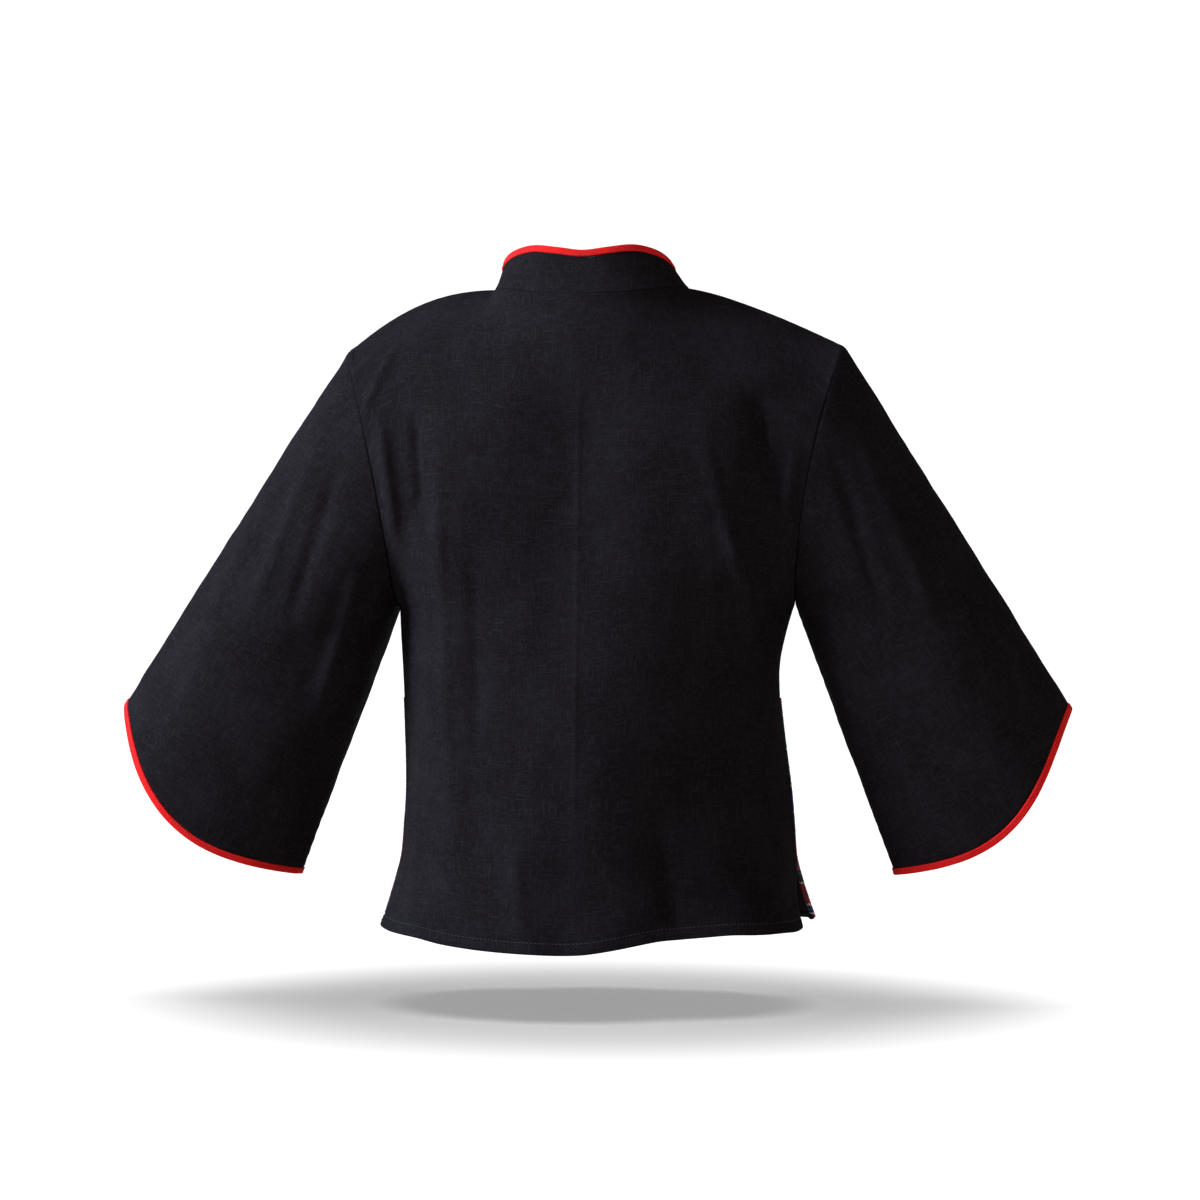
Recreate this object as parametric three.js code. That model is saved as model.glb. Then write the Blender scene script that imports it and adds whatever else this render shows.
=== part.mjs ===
// Embroidered jacket of dark slubby linen, hollow as when it is worn: a seamless back, two fronts that
// meet edge to edge, wide sleeves with petal cuffs, a stand collar, and narrow bindings.
// Millimetres. The front faces -Y, the wearer's left is +X and +Z is up. The origin is the middle
// of the neck, level with the tops of the shoulders.

import * as THREE from 'three';

// Walls and seams
const CLOTH_WALL = 1.6;
const COLLAR_WALL = 2;
const BINDING_WALL = 2.8;
const BINDING_PROUD = 0.6; // how far a binding stands out from the cloth that it edges
const BINDING_WIDTH = 6;
const SKIN_WALL = 1.2; // the embroidered band laid on each front
const SKIN_INSET = 1; // bare edge left round the band
const SEAM_GAP = 0.3;

// Points that the cut is hung from, on the wearer's left; the right is their mirror image
const NECK_SIDE = { x: 85, y: -5, z: -1 };
const NECK_BACK = { y: 62, z: -12 };
const NECK_FRONT = { x: 0.5, y: -92, z: -72 };
const SHOULDER = { x: 217, y: -3, z: -54 };
const UNDERARM = { x: 174, y: -4, z: -277 };
const VENT_TOP = { y: -3, z: -497 };

const SHOULDER_BEND = { left: 2.2, right: 1.3 }; // 1 would be a straight shoulder seam
const ARMHOLE_BEND = 1.8; // how quickly the armhole comes in below the shoulder
const ARMHOLE_ROUNDNESS = 0.9;
const NECK_OFFSET = 4; // how far the neck opening sits to the wearer's left
const NECK_SHARE = 0.36; // part of a half panel's top edge that is neckline
const NECK_FADE = 0.4; // where the neckline's shape has died out, as a share of the armhole

// How many pieces each edge is divided into
const SHOULDER_STEPS = 6;
const ARMHOLE_STEPS = 14;
const SIDE_STEPS = 8;
const VENT_STEPS = 3;
const SLEEVE_STEPS = 12;
const COLLAR_STEPS = 4;

const RELAX_PASSES = 8;
const EMBROIDERY_TOP = 1.375; // the level at which the bands on the fronts start

// The neckline, from the centre line to the side: the angle round the neck, 0 at the back, and the
// share of the half panel's width at which that column of the panel runs down
const BACK_NECKLINE = [
  { angle: 0, share: 0 },
  { angle: 18, share: 0.072 },
  { angle: 36, share: 0.144 },
  { angle: 54, share: 0.216 },
  { angle: 72, share: 0.288 },
  { angle: 90, share: NECK_SHARE },
];
const DEGREES_PER_MM = THREE.MathUtils.radToDeg(1 / (NECK_SIDE.x - NECK_FRONT.x)); // near the front
const FRONT_NECKLINE = [
  { angle: 180, share: 0 },
  { angle: 180 - BINDING_WIDTH * DEGREES_PER_MM, share: 0.028 },
  { angle: 171, share: 0.06 },
  { angle: 164, share: 0.1 },
  { angle: 149, share: 0.17 },
  { angle: 131, share: 0.235 },
  { angle: 111, share: 0.297 },
  { angle: 90, share: NECK_SHARE },
];

// Levels of the body. "at" runs 0 to 1 down the armhole, 1 to 2 down the side seam and 2 to 3 down the
// vent. A level is a curve from the centre line to the edge: flat for "reach" of the way, then
// round, leaving the edge inwards by "inwards" and outwards by "outwards" of the remaining depth.
const BACK_LEVELS = [
  { at: 0.0, centreY: 62, centreZ: -12, reach: 0.4, inwards: 0.2, outwards: 0.5 },
  { at: 0.15, centreY: 75, centreZ: -36, reach: 0.42, inwards: 0.2, outwards: 0.55 },
  { at: 0.3, centreY: 87, centreZ: -70, reach: 0.44, inwards: 0.2, outwards: 0.6 },
  { at: 0.5, centreY: 98, centreZ: -128, reach: 0.46, inwards: 0.18, outwards: 0.7 },
  { at: 0.7, centreY: 103, centreZ: -185, reach: 0.48, inwards: 0.1, outwards: 0.75 },
  { at: 0.85, centreY: 104, centreZ: -228, reach: 0.5, inwards: 0.04, outwards: 0.65 },
  { at: 1.0, centreY: 104, centreZ: -268, reach: 0.5, inwards: 0, outwards: 0.55 },
  { at: 1.5, centreY: 105, centreZ: -386, reach: 0.52, inwards: 0, outwards: 0.55 },
  { at: 2.0, centreY: 111, centreZ: -498, reach: 0.54, inwards: 0, outwards: 0.55 },
  { at: 3.0, centreY: 119, centreZ: -571, reach: 0.56, inwards: 0.02, outwards: 0.55 },
];
const FRONT_LEVELS = [
  { at: 0.0, centreY: -92, centreZ: -72, reach: 0.4, inwards: 0.2, outwards: 0.5 },
  { at: 0.15, centreY: -100, centreZ: -96, reach: 0.42, inwards: 0.2, outwards: 0.55 },
  { at: 0.3, centreY: -107, centreZ: -123, reach: 0.44, inwards: 0.2, outwards: 0.6 },
  { at: 0.5, centreY: -114, centreZ: -164, reach: 0.46, inwards: 0.16, outwards: 0.7 },
  { at: 0.7, centreY: -118, centreZ: -207, reach: 0.48, inwards: 0.1, outwards: 0.7 },
  { at: 0.85, centreY: -119, centreZ: -241, reach: 0.5, inwards: 0.04, outwards: 0.62 },
  { at: 1.0, centreY: -119, centreZ: -273, reach: 0.5, inwards: 0, outwards: 0.55 },
  { at: 1.5, centreY: -116, centreZ: -387, reach: 0.52, inwards: 0, outwards: 0.55 },
  { at: 2.0, centreY: -117, centreZ: -496, reach: 0.54, inwards: 0, outwards: 0.55 },
  { at: 3.0, centreY: -121, centreZ: -562, reach: 0.56, inwards: 0.02, outwards: 0.55 },
];

// The side seam's distance from the middle, down from the underarm ("at" as above)
const SIDE_SEAM = [
  { at: 1.0, left: UNDERARM.x, right: UNDERARM.x },
  { at: 1.12, left: 173, right: 166 },
  { at: 1.28, left: 171, right: 160 },
  { at: 1.5, left: 169, right: 164 },
  { at: 1.75, left: 168, right: 171 },
  { at: 2.0, left: 172, right: 175 },
];

// How far the back's hem is hitched up at places across it, from the wearer's right to the left
const HEM_HITCH = [
  { at: -187, lift: 0 },
  { at: -150, lift: 8 },
  { at: -110, lift: 13 },
  { at: -65, lift: 12 },
  { at: -28, lift: 5 },
  { at: 10, lift: 0 },
  { at: 115, lift: 0 },
  { at: 150, lift: 2 },
  { at: 187, lift: 0 },
];

const BACK = {
  sign: 1,
  centreX: 0,
  levels: BACK_LEVELS,
  neckline: BACK_NECKLINE,
  armholeDepth: 72,
  armholeScoop: 0,
  corner: { x: 187, y: 16, z: -557 },
};
const FRONT = {
  sign: -1,
  centreX: NECK_FRONT.x,
  levels: FRONT_LEVELS,
  neckline: FRONT_NECKLINE,
  armholeDepth: 76,
  armholeScoop: 7,
  corner: { x: 191, y: -26, z: -553 },
};

// Folds that run down the body: where each lies from the middle at its top, half way and its end, and
// how far it stands out (a ridge) or in (a trough), with its half width
const BACK_FOLDS = [
  { top: -95, end: -590, xTop: 122, xMiddle: 112, xEnd: 124, width: 24, rise: 8 }, // the long one
  { top: -85, end: -245, xTop: 158, xMiddle: 152, xEnd: 146, width: 16, rise: -6 }, // beside it
  { top: -40, end: -360, xTop: 4, xMiddle: 24, xEnd: 14, width: 44, rise: -8 }, // between the blades
  { top: -80, end: -250, xTop: -146, xMiddle: -154, xEnd: -160, width: 17, rise: -7 },
  { top: -170, end: -430, xTop: -112, xMiddle: -128, xEnd: -142, width: 22, rise: 6 },
  { top: -380, end: -640, xTop: -70, xMiddle: -84, xEnd: -92, width: 52, rise: -11 }, // lower right
  { top: -430, end: -640, xTop: 62, xMiddle: 58, xEnd: 50, width: 28, rise: 4 },
];
const FRONT_FOLDS = [
  { top: -120, end: -590, xTop: 112, xMiddle: 106, xEnd: 118, width: 24, rise: 7 },
  { top: -90, end: -250, xTop: 150, xMiddle: 146, xEnd: 142, width: 17, rise: -6 },
  { top: -250, end: -640, xTop: 56, xMiddle: 62, xEnd: 70, width: 30, rise: -8 },
  { top: -95, end: -260, xTop: -148, xMiddle: -150, xEnd: -152, width: 17, rise: -6 },
  { top: -170, end: -600, xTop: -104, xMiddle: -112, xEnd: -108, width: 24, rise: 7 },
  { top: -300, end: -640, xTop: -52, xMiddle: -60, xEnd: -64, width: 30, rise: -7 },
];

// Sleeve: its cuff is a flattened oval, and both halves of its edge are cut as a petal. The sleeves
// hang a little differently: where the middle of each cuff is, how wide it lies, and its petal's depth
// and how far round it is deepest.
const CUFFS = {
  left: { x: 343, y: -14, z: -442, halfWidth: 109, petal: 40, petalBend: 1.05 },
  right: { x: 337, y: -14, z: -441, halfWidth: 105, petal: 37, petalBend: 1.15 },
};
const CUFF_HALF_DEPTH = 48;
const CUFF_ACROSS = new THREE.Vector3(0.726, 0, 0.688).normalize(); // from the inner corner to the outer fold
const CUFF_ALONG = new THREE.Vector3(0.688, 0, -0.726).normalize(); // down the sleeve
const SLEEVE_FULLNESS = 6; // how far the sleeve stands out between the armhole and the cuff
const SLEEVE_LEAN = 0.16; // how much of the fullness lies towards the outer fold

// Folds of a sleeve: the angle round it at the start and the end (0 the outer fold, 90 the middle of
// the back, 180 underneath, 270 the middle of the front), and how far down it starts and ends
const SLEEVE_FOLDS = [
  { side: 1, start: 0.06, end: 0.62, angle: 128, angleEnd: 100, width: 13, rise: -5 },
  { side: 1, start: 0.3, end: 1.1, angle: 62, angleEnd: 66, width: 16, rise: 4 },
  { side: 1, start: 0.1, end: 0.8, angle: 238, angleEnd: 262, width: 14, rise: -5 },
  { side: -1, start: 0.05, end: 0.7, angle: 122, angleEnd: 104, width: 13, rise: -4 },
  { side: -1, start: 0.35, end: 1.1, angle: 76, angleEnd: 70, width: 16, rise: 4 },
  { side: -1, start: 0.1, end: 0.75, angle: 240, angleEnd: 258, width: 14, rise: -5 },
];

// Collar: how high it stands at each angle round the neck, its binding included
const COLLAR_HEIGHTS = [
  { at: 0, height: 39 },
  { at: 35, height: 41 },
  { at: 65, height: 31 },
  { at: 90, height: 21 },
  { at: 130, height: 26 },
  { at: 180, height: 28 },
];
const COLLAR_NARROWING = 0.86; // the top edge's width as a share of the neckline's
const COLLAR_TUCK = 0.75; // below 1, most of the narrowing comes low down
const COLLAR_FORWARD = 5; // how far its top lies in front of its foot
const COLLAR_LEAN = 4; // how far its top leans to the wearer's left
const COLLAR_CORNER = 16; // radius of its front corners

const CLOTH_COLOUR = 0x19171d;
const BINDING_COLOUR = 0xd5161e;
const EMBROIDERY_COLOUR = 0x8c1f2b;

const { degToRad, lerp, clamp, smoothstep } = THREE.MathUtils;

function point(x, y, z) {
  return new THREE.Vector3(x, y, z);
}

function sideName(side) {
  return side > 0 ? 'left' : 'right';
}

// Value of a table's column at a station, on a smooth curve through its rows
function follow(table, at, column) {
  const last = table.length - 1;
  let row = 0;
  while (row < last - 1 && at > table[row + 1].at) {
    row += 1;
  }
  const slope = (index) => {
    const before = table[Math.max(index - 1, 0)];
    const after = table[Math.min(index + 1, last)];
    return (after[column] - before[column]) / (after.at - before.at);
  };
  const from = table[row];
  const to = table[row + 1];
  const span = to.at - from.at;
  const t = clamp((at - from.at) / span, 0, 1);
  const ease = t * t * (3 - 2 * t);
  const bend = span * t * (1 - t) * ((1 - t) * slope(row) - t * slope(row + 1));
  return lerp(from[column], to[column], ease) + bend;
}

// A point of the neckline, at an angle round the neck: 0 at the back, 90 at the side, 180 in front
function necklinePoint(degrees) {
  const angle = degToRad(degrees);
  const across = Math.sin(angle);
  const lengthwise = Math.cos(angle);
  if (degrees <= 90) {
    const rise = NECK_SIDE.z - NECK_BACK.z;
    return point(
      NECK_SIDE.x * across,
      NECK_SIDE.y + (NECK_BACK.y - NECK_SIDE.y) * lengthwise,
      NECK_BACK.z + rise * across * across,
    );
  }
  return point(
    NECK_FRONT.x + (NECK_SIDE.x - NECK_FRONT.x) * across,
    NECK_SIDE.y - (NECK_FRONT.y - NECK_SIDE.y) * lengthwise,
    NECK_SIDE.z + (NECK_FRONT.z - NECK_SIDE.z) * lengthwise * lengthwise,
  );
}

function shoulderPoint(side, share) {
  return point(
    lerp(NECK_SIDE.x, SHOULDER.x, share),
    lerp(NECK_SIDE.y, SHOULDER.y, share),
    NECK_SIDE.z + (SHOULDER.z - NECK_SIDE.z) * share ** SHOULDER_BEND[sideName(side)],
  );
}

// A point of the armhole, from the shoulder (0) to the underarm (half a turn), behind or in front
function armholePoint(face, angle) {
  const fall = (1 - Math.cos(angle)) / 2;
  const round = Math.max(Math.sin(angle), 0);
  const width = SHOULDER.x - UNDERARM.x;
  return point(
    UNDERARM.x + width * (1 - fall) ** ARMHOLE_BEND - face.armholeScoop * round * round,
    lerp(SHOULDER.y, UNDERARM.y, fall) + face.sign * face.armholeDepth * round ** ARMHOLE_ROUNDNESS,
    lerp(SHOULDER.z, UNDERARM.z, fall),
  );
}

// A point of a body panel's outer edge: armhole, then side seam, then vent
function edgePoint(face, side, at) {
  if (at <= 1) {
    return armholePoint(face, at * Math.PI);
  }
  if (at <= 2) {
    const share = at - 1;
    return point(
      follow(SIDE_SEAM, at, sideName(side)),
      lerp(UNDERARM.y, VENT_TOP.y, share),
      lerp(UNDERARM.z, VENT_TOP.z, share),
    );
  }
  const share = at - 2;
  return point(
    lerp(follow(SIDE_SEAM, 2, sideName(side)), face.corner.x, share ** 1.15),
    lerp(VENT_TOP.y, face.corner.y, share ** 1.3),
    lerp(VENT_TOP.z, face.corner.z, share),
  );
}

// A point of a level of the body, at a share of the way from the centre line to the edge
function levelPoint(face, side, share, at) {
  const column = (name) => follow(face.levels, at, name);
  const centre = point(face.centreX, column('centreY'), column('centreZ'));
  const edge = edgePoint(face, side, at);
  const flat = centre.clone().setX(column('reach') * edge.x);
  const round = point(
    edge.x * (1 - column('inwards')),
    lerp(edge.y, centre.y, column('outwards')),
    lerp(edge.z, centre.z, 0.3),
  );
  return new THREE.CubicBezierCurve3(centre, flat, round, edge).getPoint(share);
}

// The top edge of a half panel, column by column: the neckline, then the shoulder seam
function topEdge(face, side) {
  const columns = face.neckline.map(({ angle, share }) => ({ share, top: necklinePoint(angle) }));
  for (let step = 1; step <= SHOULDER_STEPS; step += 1) {
    const along = step / SHOULDER_STEPS;
    columns.push({ share: lerp(NECK_SHARE, 1, along), top: shoulderPoint(side, along) });
  }
  return columns;
}

// The levels at which the body's rows of points lie
function bodyStations() {
  const stations = [];
  for (let step = 0; step <= ARMHOLE_STEPS; step += 1) {
    stations.push(step / ARMHOLE_STEPS);
  }
  for (let step = 1; step <= SIDE_STEPS; step += 1) {
    stations.push(1 + step / SIDE_STEPS);
  }
  for (let step = 1; step <= VENT_STEPS; step += 1) {
    stations.push(2 + step / VENT_STEPS);
  }
  return stations;
}

// How far the folds lift the cloth at a place, given where it is across and up
function foldRise(folds, x, z) {
  let rise = 0;
  for (const fold of folds) {
    const down = (fold.top - z) / (fold.top - fold.end);
    if (down <= 0 || down >= 1) {
      continue;
    }
    const upper = lerp(fold.xTop, fold.xMiddle, down);
    const lower = lerp(fold.xMiddle, fold.xEnd, down);
    const offset = (x - lerp(upper, lower, down)) / fold.width;
    const fade = smoothstep(down, 0, 0.3) * (1 - smoothstep(down, 0.7, 1));
    rise += fold.rise * fade * Math.exp(-offset * offset);
  }
  return rise;
}

// The directions in which the points of a grid face outwards. "centres" holds a point inside each row.
function outwardNormals(grid, centres, closed) {
  const rows = grid.length;
  const columns = grid[0].length;
  const normals = grid.map((row, i) => row.map((place, j) => {
    const before = closed ? row[(j + columns - 1) % columns] : row[Math.max(j - 1, 0)];
    const after = closed ? row[(j + 1) % columns] : row[Math.min(j + 1, columns - 1)];
    const across = after.clone().sub(before);
    const down = grid[Math.min(i + 1, rows - 1)][j].clone().sub(grid[Math.max(i - 1, 0)][j]);
    return across.cross(down).normalize();
  }));
  let agreement = 0;
  grid.forEach((row, i) => row.forEach((place, j) => {
    agreement += normals[i][j].dot(place.clone().sub(centres[i]));
  }));
  const facesOut = agreement > 0;
  if (!facesOut) {
    normals.forEach((row) => row.forEach((normal) => normal.negate()));
  }
  return { normals, facesOut };
}

// A sheet: a grid of points on the outside of a piece, with the directions that they face
function makeSheet(grid, centres, closed) {
  return { grid, closed, ...outwardNormals(grid, centres, closed) };
}

// Moves the points of a sheet out along their normals, by a height worked out for each
function raise(sheet, centres, heightAt) {
  const grid = sheet.grid.map((row, i) => row.map((place, j) => (
    place.clone().addScaledVector(sheet.normals[i][j], heightAt(place, i, j))
  )));
  return makeSheet(grid, centres, sheet.closed);
}

// Evens out the inner points of a grid, as cloth does, and leaves its edges where they are
function relax(grid, passes) {
  for (let pass = 0; pass < passes; pass += 1) {
    const before = grid.map((row) => row.map((place) => place.clone()));
    for (let i = 1; i < grid.length - 1; i += 1) {
      for (let j = 1; j < grid[0].length - 1; j += 1) {
        const neighbours = [before[i - 1][j], before[i + 1][j], before[i][j - 1], before[i][j + 1]];
        const mean = neighbours.reduce((sum, place) => sum.add(place), point(0, 0, 0)).divideScalar(4);
        grid[i][j].lerp(mean, 0.5);
      }
    }
  }
}

// Half of the body's back or front on one side, with columns from the centre line outwards
function halfBody(face, side) {
  const columns = topEdge(face, side);
  return bodyStations().map((at) => {
    const fade = Math.max(1 - at / NECK_FADE, 0) ** 2;
    return columns.map(({ share, top }) => {
      const place = levelPoint(face, side, share, at);
      const correction = top.clone().sub(levelPoint(face, side, share, 0));
      place.addScaledVector(correction, fade);
      const offset = NECK_OFFSET * fade * (1 - smoothstep(share, NECK_SHARE, 1));
      const hitch = face === BACK ? follow(HEM_HITCH, side * place.x, 'lift') * smoothstep(at, 2, 3) : 0;
      return place.set(side * place.x + offset, place.y, place.z + hitch);
    });
  });
}

// Folds a smooth half or whole of the body. Its edges stay where its seams need them.
function foldBody(grid, folds, hasCentreEdge) {
  const stations = bodyStations();
  const centres = grid.map((row) => point(0, 0, row[0].z));
  const last = grid[0].length - 1;
  relax(grid, RELAX_PASSES);
  return raise(makeSheet(grid, centres, false), centres, (place, i, j) => {
    const onCentreEdge = hasCentreEdge && j === 0;
    const onSeam = (j === last || (j === 0 && !hasCentreEdge)) && stations[i] <= 2;
    if (onCentreEdge || onSeam) {
      return 0;
    }
    return foldRise(folds, place.x, place.z) * smoothstep(stations[i], 0, 0.15);
  });
}

function backSheet() {
  const left = halfBody(BACK, 1);
  const right = halfBody(BACK, -1);
  const grid = left.map((row, i) => [...right[i].slice(1).reverse(), ...row]);
  return foldBody(grid, BACK_FOLDS, false);
}

function frontSheet(side) {
  return foldBody(halfBody(FRONT, side), FRONT_FOLDS, true);
}

// A point of the cuff's edge, at an angle round the sleeve
function cuffPoint(side, angle) {
  const cuff = CUFFS[sideName(side)];
  const inward = (1 - Math.cos(angle)) / 2;
  const depth = CUFF_HALF_DEPTH * Math.sin(angle) * (1 + SLEEVE_LEAN * Math.cos(angle));
  return point(cuff.x, cuff.y + depth, cuff.z)
    .addScaledVector(CUFF_ACROSS, cuff.halfWidth * Math.cos(angle))
    .addScaledVector(CUFF_ALONG, cuff.petal * Math.sin(Math.PI * inward ** cuff.petalBend));
}

function sleeveStart(angle) {
  return angle <= Math.PI ? armholePoint(BACK, angle) : armholePoint(FRONT, 2 * Math.PI - angle);
}

// How much of a sleeve's length its binding takes at an angle, so that the binding is equally wide
// wherever the petal's edge slants
function bindingShare(side, angle) {
  const nudge = 0.01;
  const slant = cuffPoint(side, angle + nudge).sub(cuffPoint(side, angle - nudge)).normalize();
  const length = cuffPoint(side, angle).sub(sleeveStart(angle));
  const straightness = slant.cross(length.clone().normalize()).length();
  return BINDING_WIDTH / straightness / length.length();
}

function sleeveFoldRise(side, angle, down) {
  let rise = 0;
  for (const fold of SLEEVE_FOLDS) {
    const along = (down - fold.start) / (fold.end - fold.start);
    if (fold.side !== side || along <= 0 || along >= 1) {
      continue;
    }
    const offset = (THREE.MathUtils.radToDeg(angle) - lerp(fold.angle, fold.angleEnd, along)) / fold.width;
    rise += fold.rise * Math.sin(Math.PI * along) * Math.exp(-offset * offset);
  }
  return rise;
}

// A point of a sleeve, at an angle round it and a share of the way down
function sleevePoint(side, angle, down) {
  const start = sleeveStart(angle);
  const end = cuffPoint(side, angle);
  const axis = CUFF_ALONG;
  const outward = point(0, Math.sin(angle), 0).addScaledVector(CUFF_ACROSS, Math.cos(angle));
  outward.addScaledVector(axis, -outward.dot(axis)).normalize();
  const fullness = SLEEVE_FULLNESS * Math.sin(Math.PI * down) * Math.abs(Math.sin(angle));
  const place = start.lerp(end, down);
  place.addScaledVector(outward, fullness + sleeveFoldRise(side, angle, down));
  return place.setX(place.x * side);
}

function sleeveAngles() {
  const count = 2 * ARMHOLE_STEPS;
  return Array.from({ length: count }, (_, j) => (j / count) * 2 * Math.PI);
}

function rowMiddle(row) {
  const sum = row.reduce((total, place) => total.add(place), point(0, 0, 0));
  return sum.divideScalar(row.length);
}

// The sleeve's cloth runs from the armhole to the binding
function sleeveSheet(side) {
  const grid = [];
  for (let i = 0; i <= SLEEVE_STEPS; i += 1) {
    grid.push(sleeveAngles().map((angle) => (
      sleevePoint(side, angle, (i / SLEEVE_STEPS) * (1 - bindingShare(side, angle)))
    )));
  }
  return makeSheet(grid, grid.map(rowMiddle), true);
}

function cuffBindingSheet(side) {
  const grid = [0, 0.5, 1].map((width) => sleeveAngles().map((angle) => (
    sleevePoint(side, angle, 1 - bindingShare(side, angle) * (1 - width))
  )));
  return makeSheet(grid, grid.map(rowMiddle), true);
}

// A point of the collar: an angle round the neck, a height above the neckline, and a side
function collarPoint(side, degrees, height) {
  const foot = necklinePoint(degrees);
  const full = follow(COLLAR_HEIGHTS, degrees, 'height');
  const rise = height / full;
  const tuck = clamp(rise, 0, 1) ** COLLAR_TUCK;
  return point(
    side * foot.x * lerp(1, COLLAR_NARROWING, tuck) + NECK_OFFSET + COLLAR_LEAN * rise,
    foot.y * lerp(1, COLLAR_NARROWING, tuck) - COLLAR_FORWARD * rise,
    foot.z + height,
  );
}

// One side of the collar's outline, from the centre back round to the centre front, drawn "inset" mm
// inside its finished edge: along the top, then round the corner to the front edge
function collarOutline(inset) {
  const heightAt = (degrees) => follow(COLLAR_HEIGHTS, degrees, 'height');
  const straight = [...BACK_NECKLINE.map((row) => row.angle), 112, 133, 152];
  const outline = straight.map((degrees) => ({ degrees, height: heightAt(degrees) - inset }));
  const radius = COLLAR_CORNER - inset;
  const cornerAngle = 180 - COLLAR_CORNER * DEGREES_PER_MM;
  for (const turn of [0, Math.PI / 4, Math.PI / 2]) {
    outline.push({
      degrees: cornerAngle + radius * Math.sin(turn) * DEGREES_PER_MM,
      height: heightAt(180) - COLLAR_CORNER + radius * Math.cos(turn),
    });
  }
  return outline;
}

// Both sides of a list of columns that starts at the centre back, from one front end to the other
function bothSides(columns, pointOf) {
  const right = columns.slice(1).reverse().map((column) => pointOf(-1, column));
  const left = columns.map((column) => pointOf(1, column));
  return [...right, ...left];
}

function neckCentres(grid) {
  return grid.map((row) => point(0, -10, row[0].z));
}

// The collar's cloth, from the binding down to the neckline
function collarSheet() {
  const feet = [...BACK_NECKLINE, ...FRONT_NECKLINE.slice(1, -1).reverse()];
  const columns = collarOutline(BINDING_WIDTH).map((top, index) => ({ top, foot: feet[index].angle }));
  const grid = [];
  for (let i = 0; i <= COLLAR_STEPS; i += 1) {
    const up = 1 - i / COLLAR_STEPS;
    grid.push(bothSides(columns, (side, { top, foot }) => (
      collarPoint(side, lerp(foot, top.degrees, up), top.height * up)
    )));
  }
  return makeSheet(grid, neckCentres(grid), false);
}

// The binding along the collar's top edge and down its front edges
function collarBindingSheet() {
  const edges = [BINDING_WIDTH, BINDING_WIDTH / 2, 0].map((inset) => {
    const outline = collarOutline(inset);
    const end = outline[outline.length - 1];
    return [...outline, { degrees: end.degrees, height: 2 * SEAM_GAP }];
  });
  const grid = edges.map((edge) => bothSides(edge, (side, { degrees, height }) => (
    collarPoint(side, degrees, height)
  )));
  return makeSheet(grid, neckCentres(grid), false);
}

// The embroidered band of a front, made from the front's own points below a level and drawn in from
// its edges, then moved out on to its surface
function embroiderySheet(front) {
  const towards = (from, to) => from.clone().lerp(to, SKIN_INSET / from.distanceTo(to));
  const first = bodyStations().findIndex((at) => at >= EMBROIDERY_TOP);
  const inset = front.grid.slice(first).map((row) => {
    const last = row.length - 1;
    return [towards(row[0], row[1]), ...row.slice(1, last), towards(row[last], row[last - 1])];
  });
  const hem = inset.length - 1;
  const rows = [...inset.slice(0, hem), inset[hem].map((place, j) => towards(place, inset[hem - 1][j]))];
  const centres = rows.map((row) => point(0, 0, row[0].z));
  return raise(makeSheet(rows, centres, false), centres, () => SEAM_GAP + SKIN_WALL);
}

// Seams: each edge point's direction is the mean of those of the sheets that meet there, so that their
// walls are mitred
const seamNormals = new Map();

function seamKey(place) {
  return place.toArray().map((value) => Math.round(value * 20)).join(' ');
}

function isRim(sheet, i, j) {
  const onRow = i === 0 || i === sheet.grid.length - 1;
  const onColumn = j === 0 || j === sheet.grid[0].length - 1;
  return onRow || (onColumn && !sheet.closed);
}

function meetAtSeams(sheets) {
  for (const { sheet } of sheets) {
    sheet.grid.forEach((row, i) => row.forEach((place, j) => {
      if (isRim(sheet, i, j)) {
        const sum = seamNormals.get(seamKey(place)) ?? point(0, 0, 0);
        seamNormals.set(seamKey(place), sum.add(sheet.normals[i][j]));
      }
    }));
  }
}

// Draws an edge of a sheet back from its seam by half the gap
function drawBack(sheet, edge) {
  const { grid } = sheet;
  const rows = grid.length;
  const columns = grid[0].length;
  const lines = {
    top: grid[0].map((place, j) => [place, grid[1][j]]),
    bottom: grid[rows - 1].map((place, j) => [place, grid[rows - 2][j]]),
    first: grid.map((row) => [row[0], row[1]]),
    last: grid.map((row) => [row[columns - 1], row[columns - 2]]),
  };
  for (const [place, inner] of lines[edge]) {
    const step = inner.clone().sub(place).setLength(SEAM_GAP / 2);
    place.add(step);
  }
}

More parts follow.
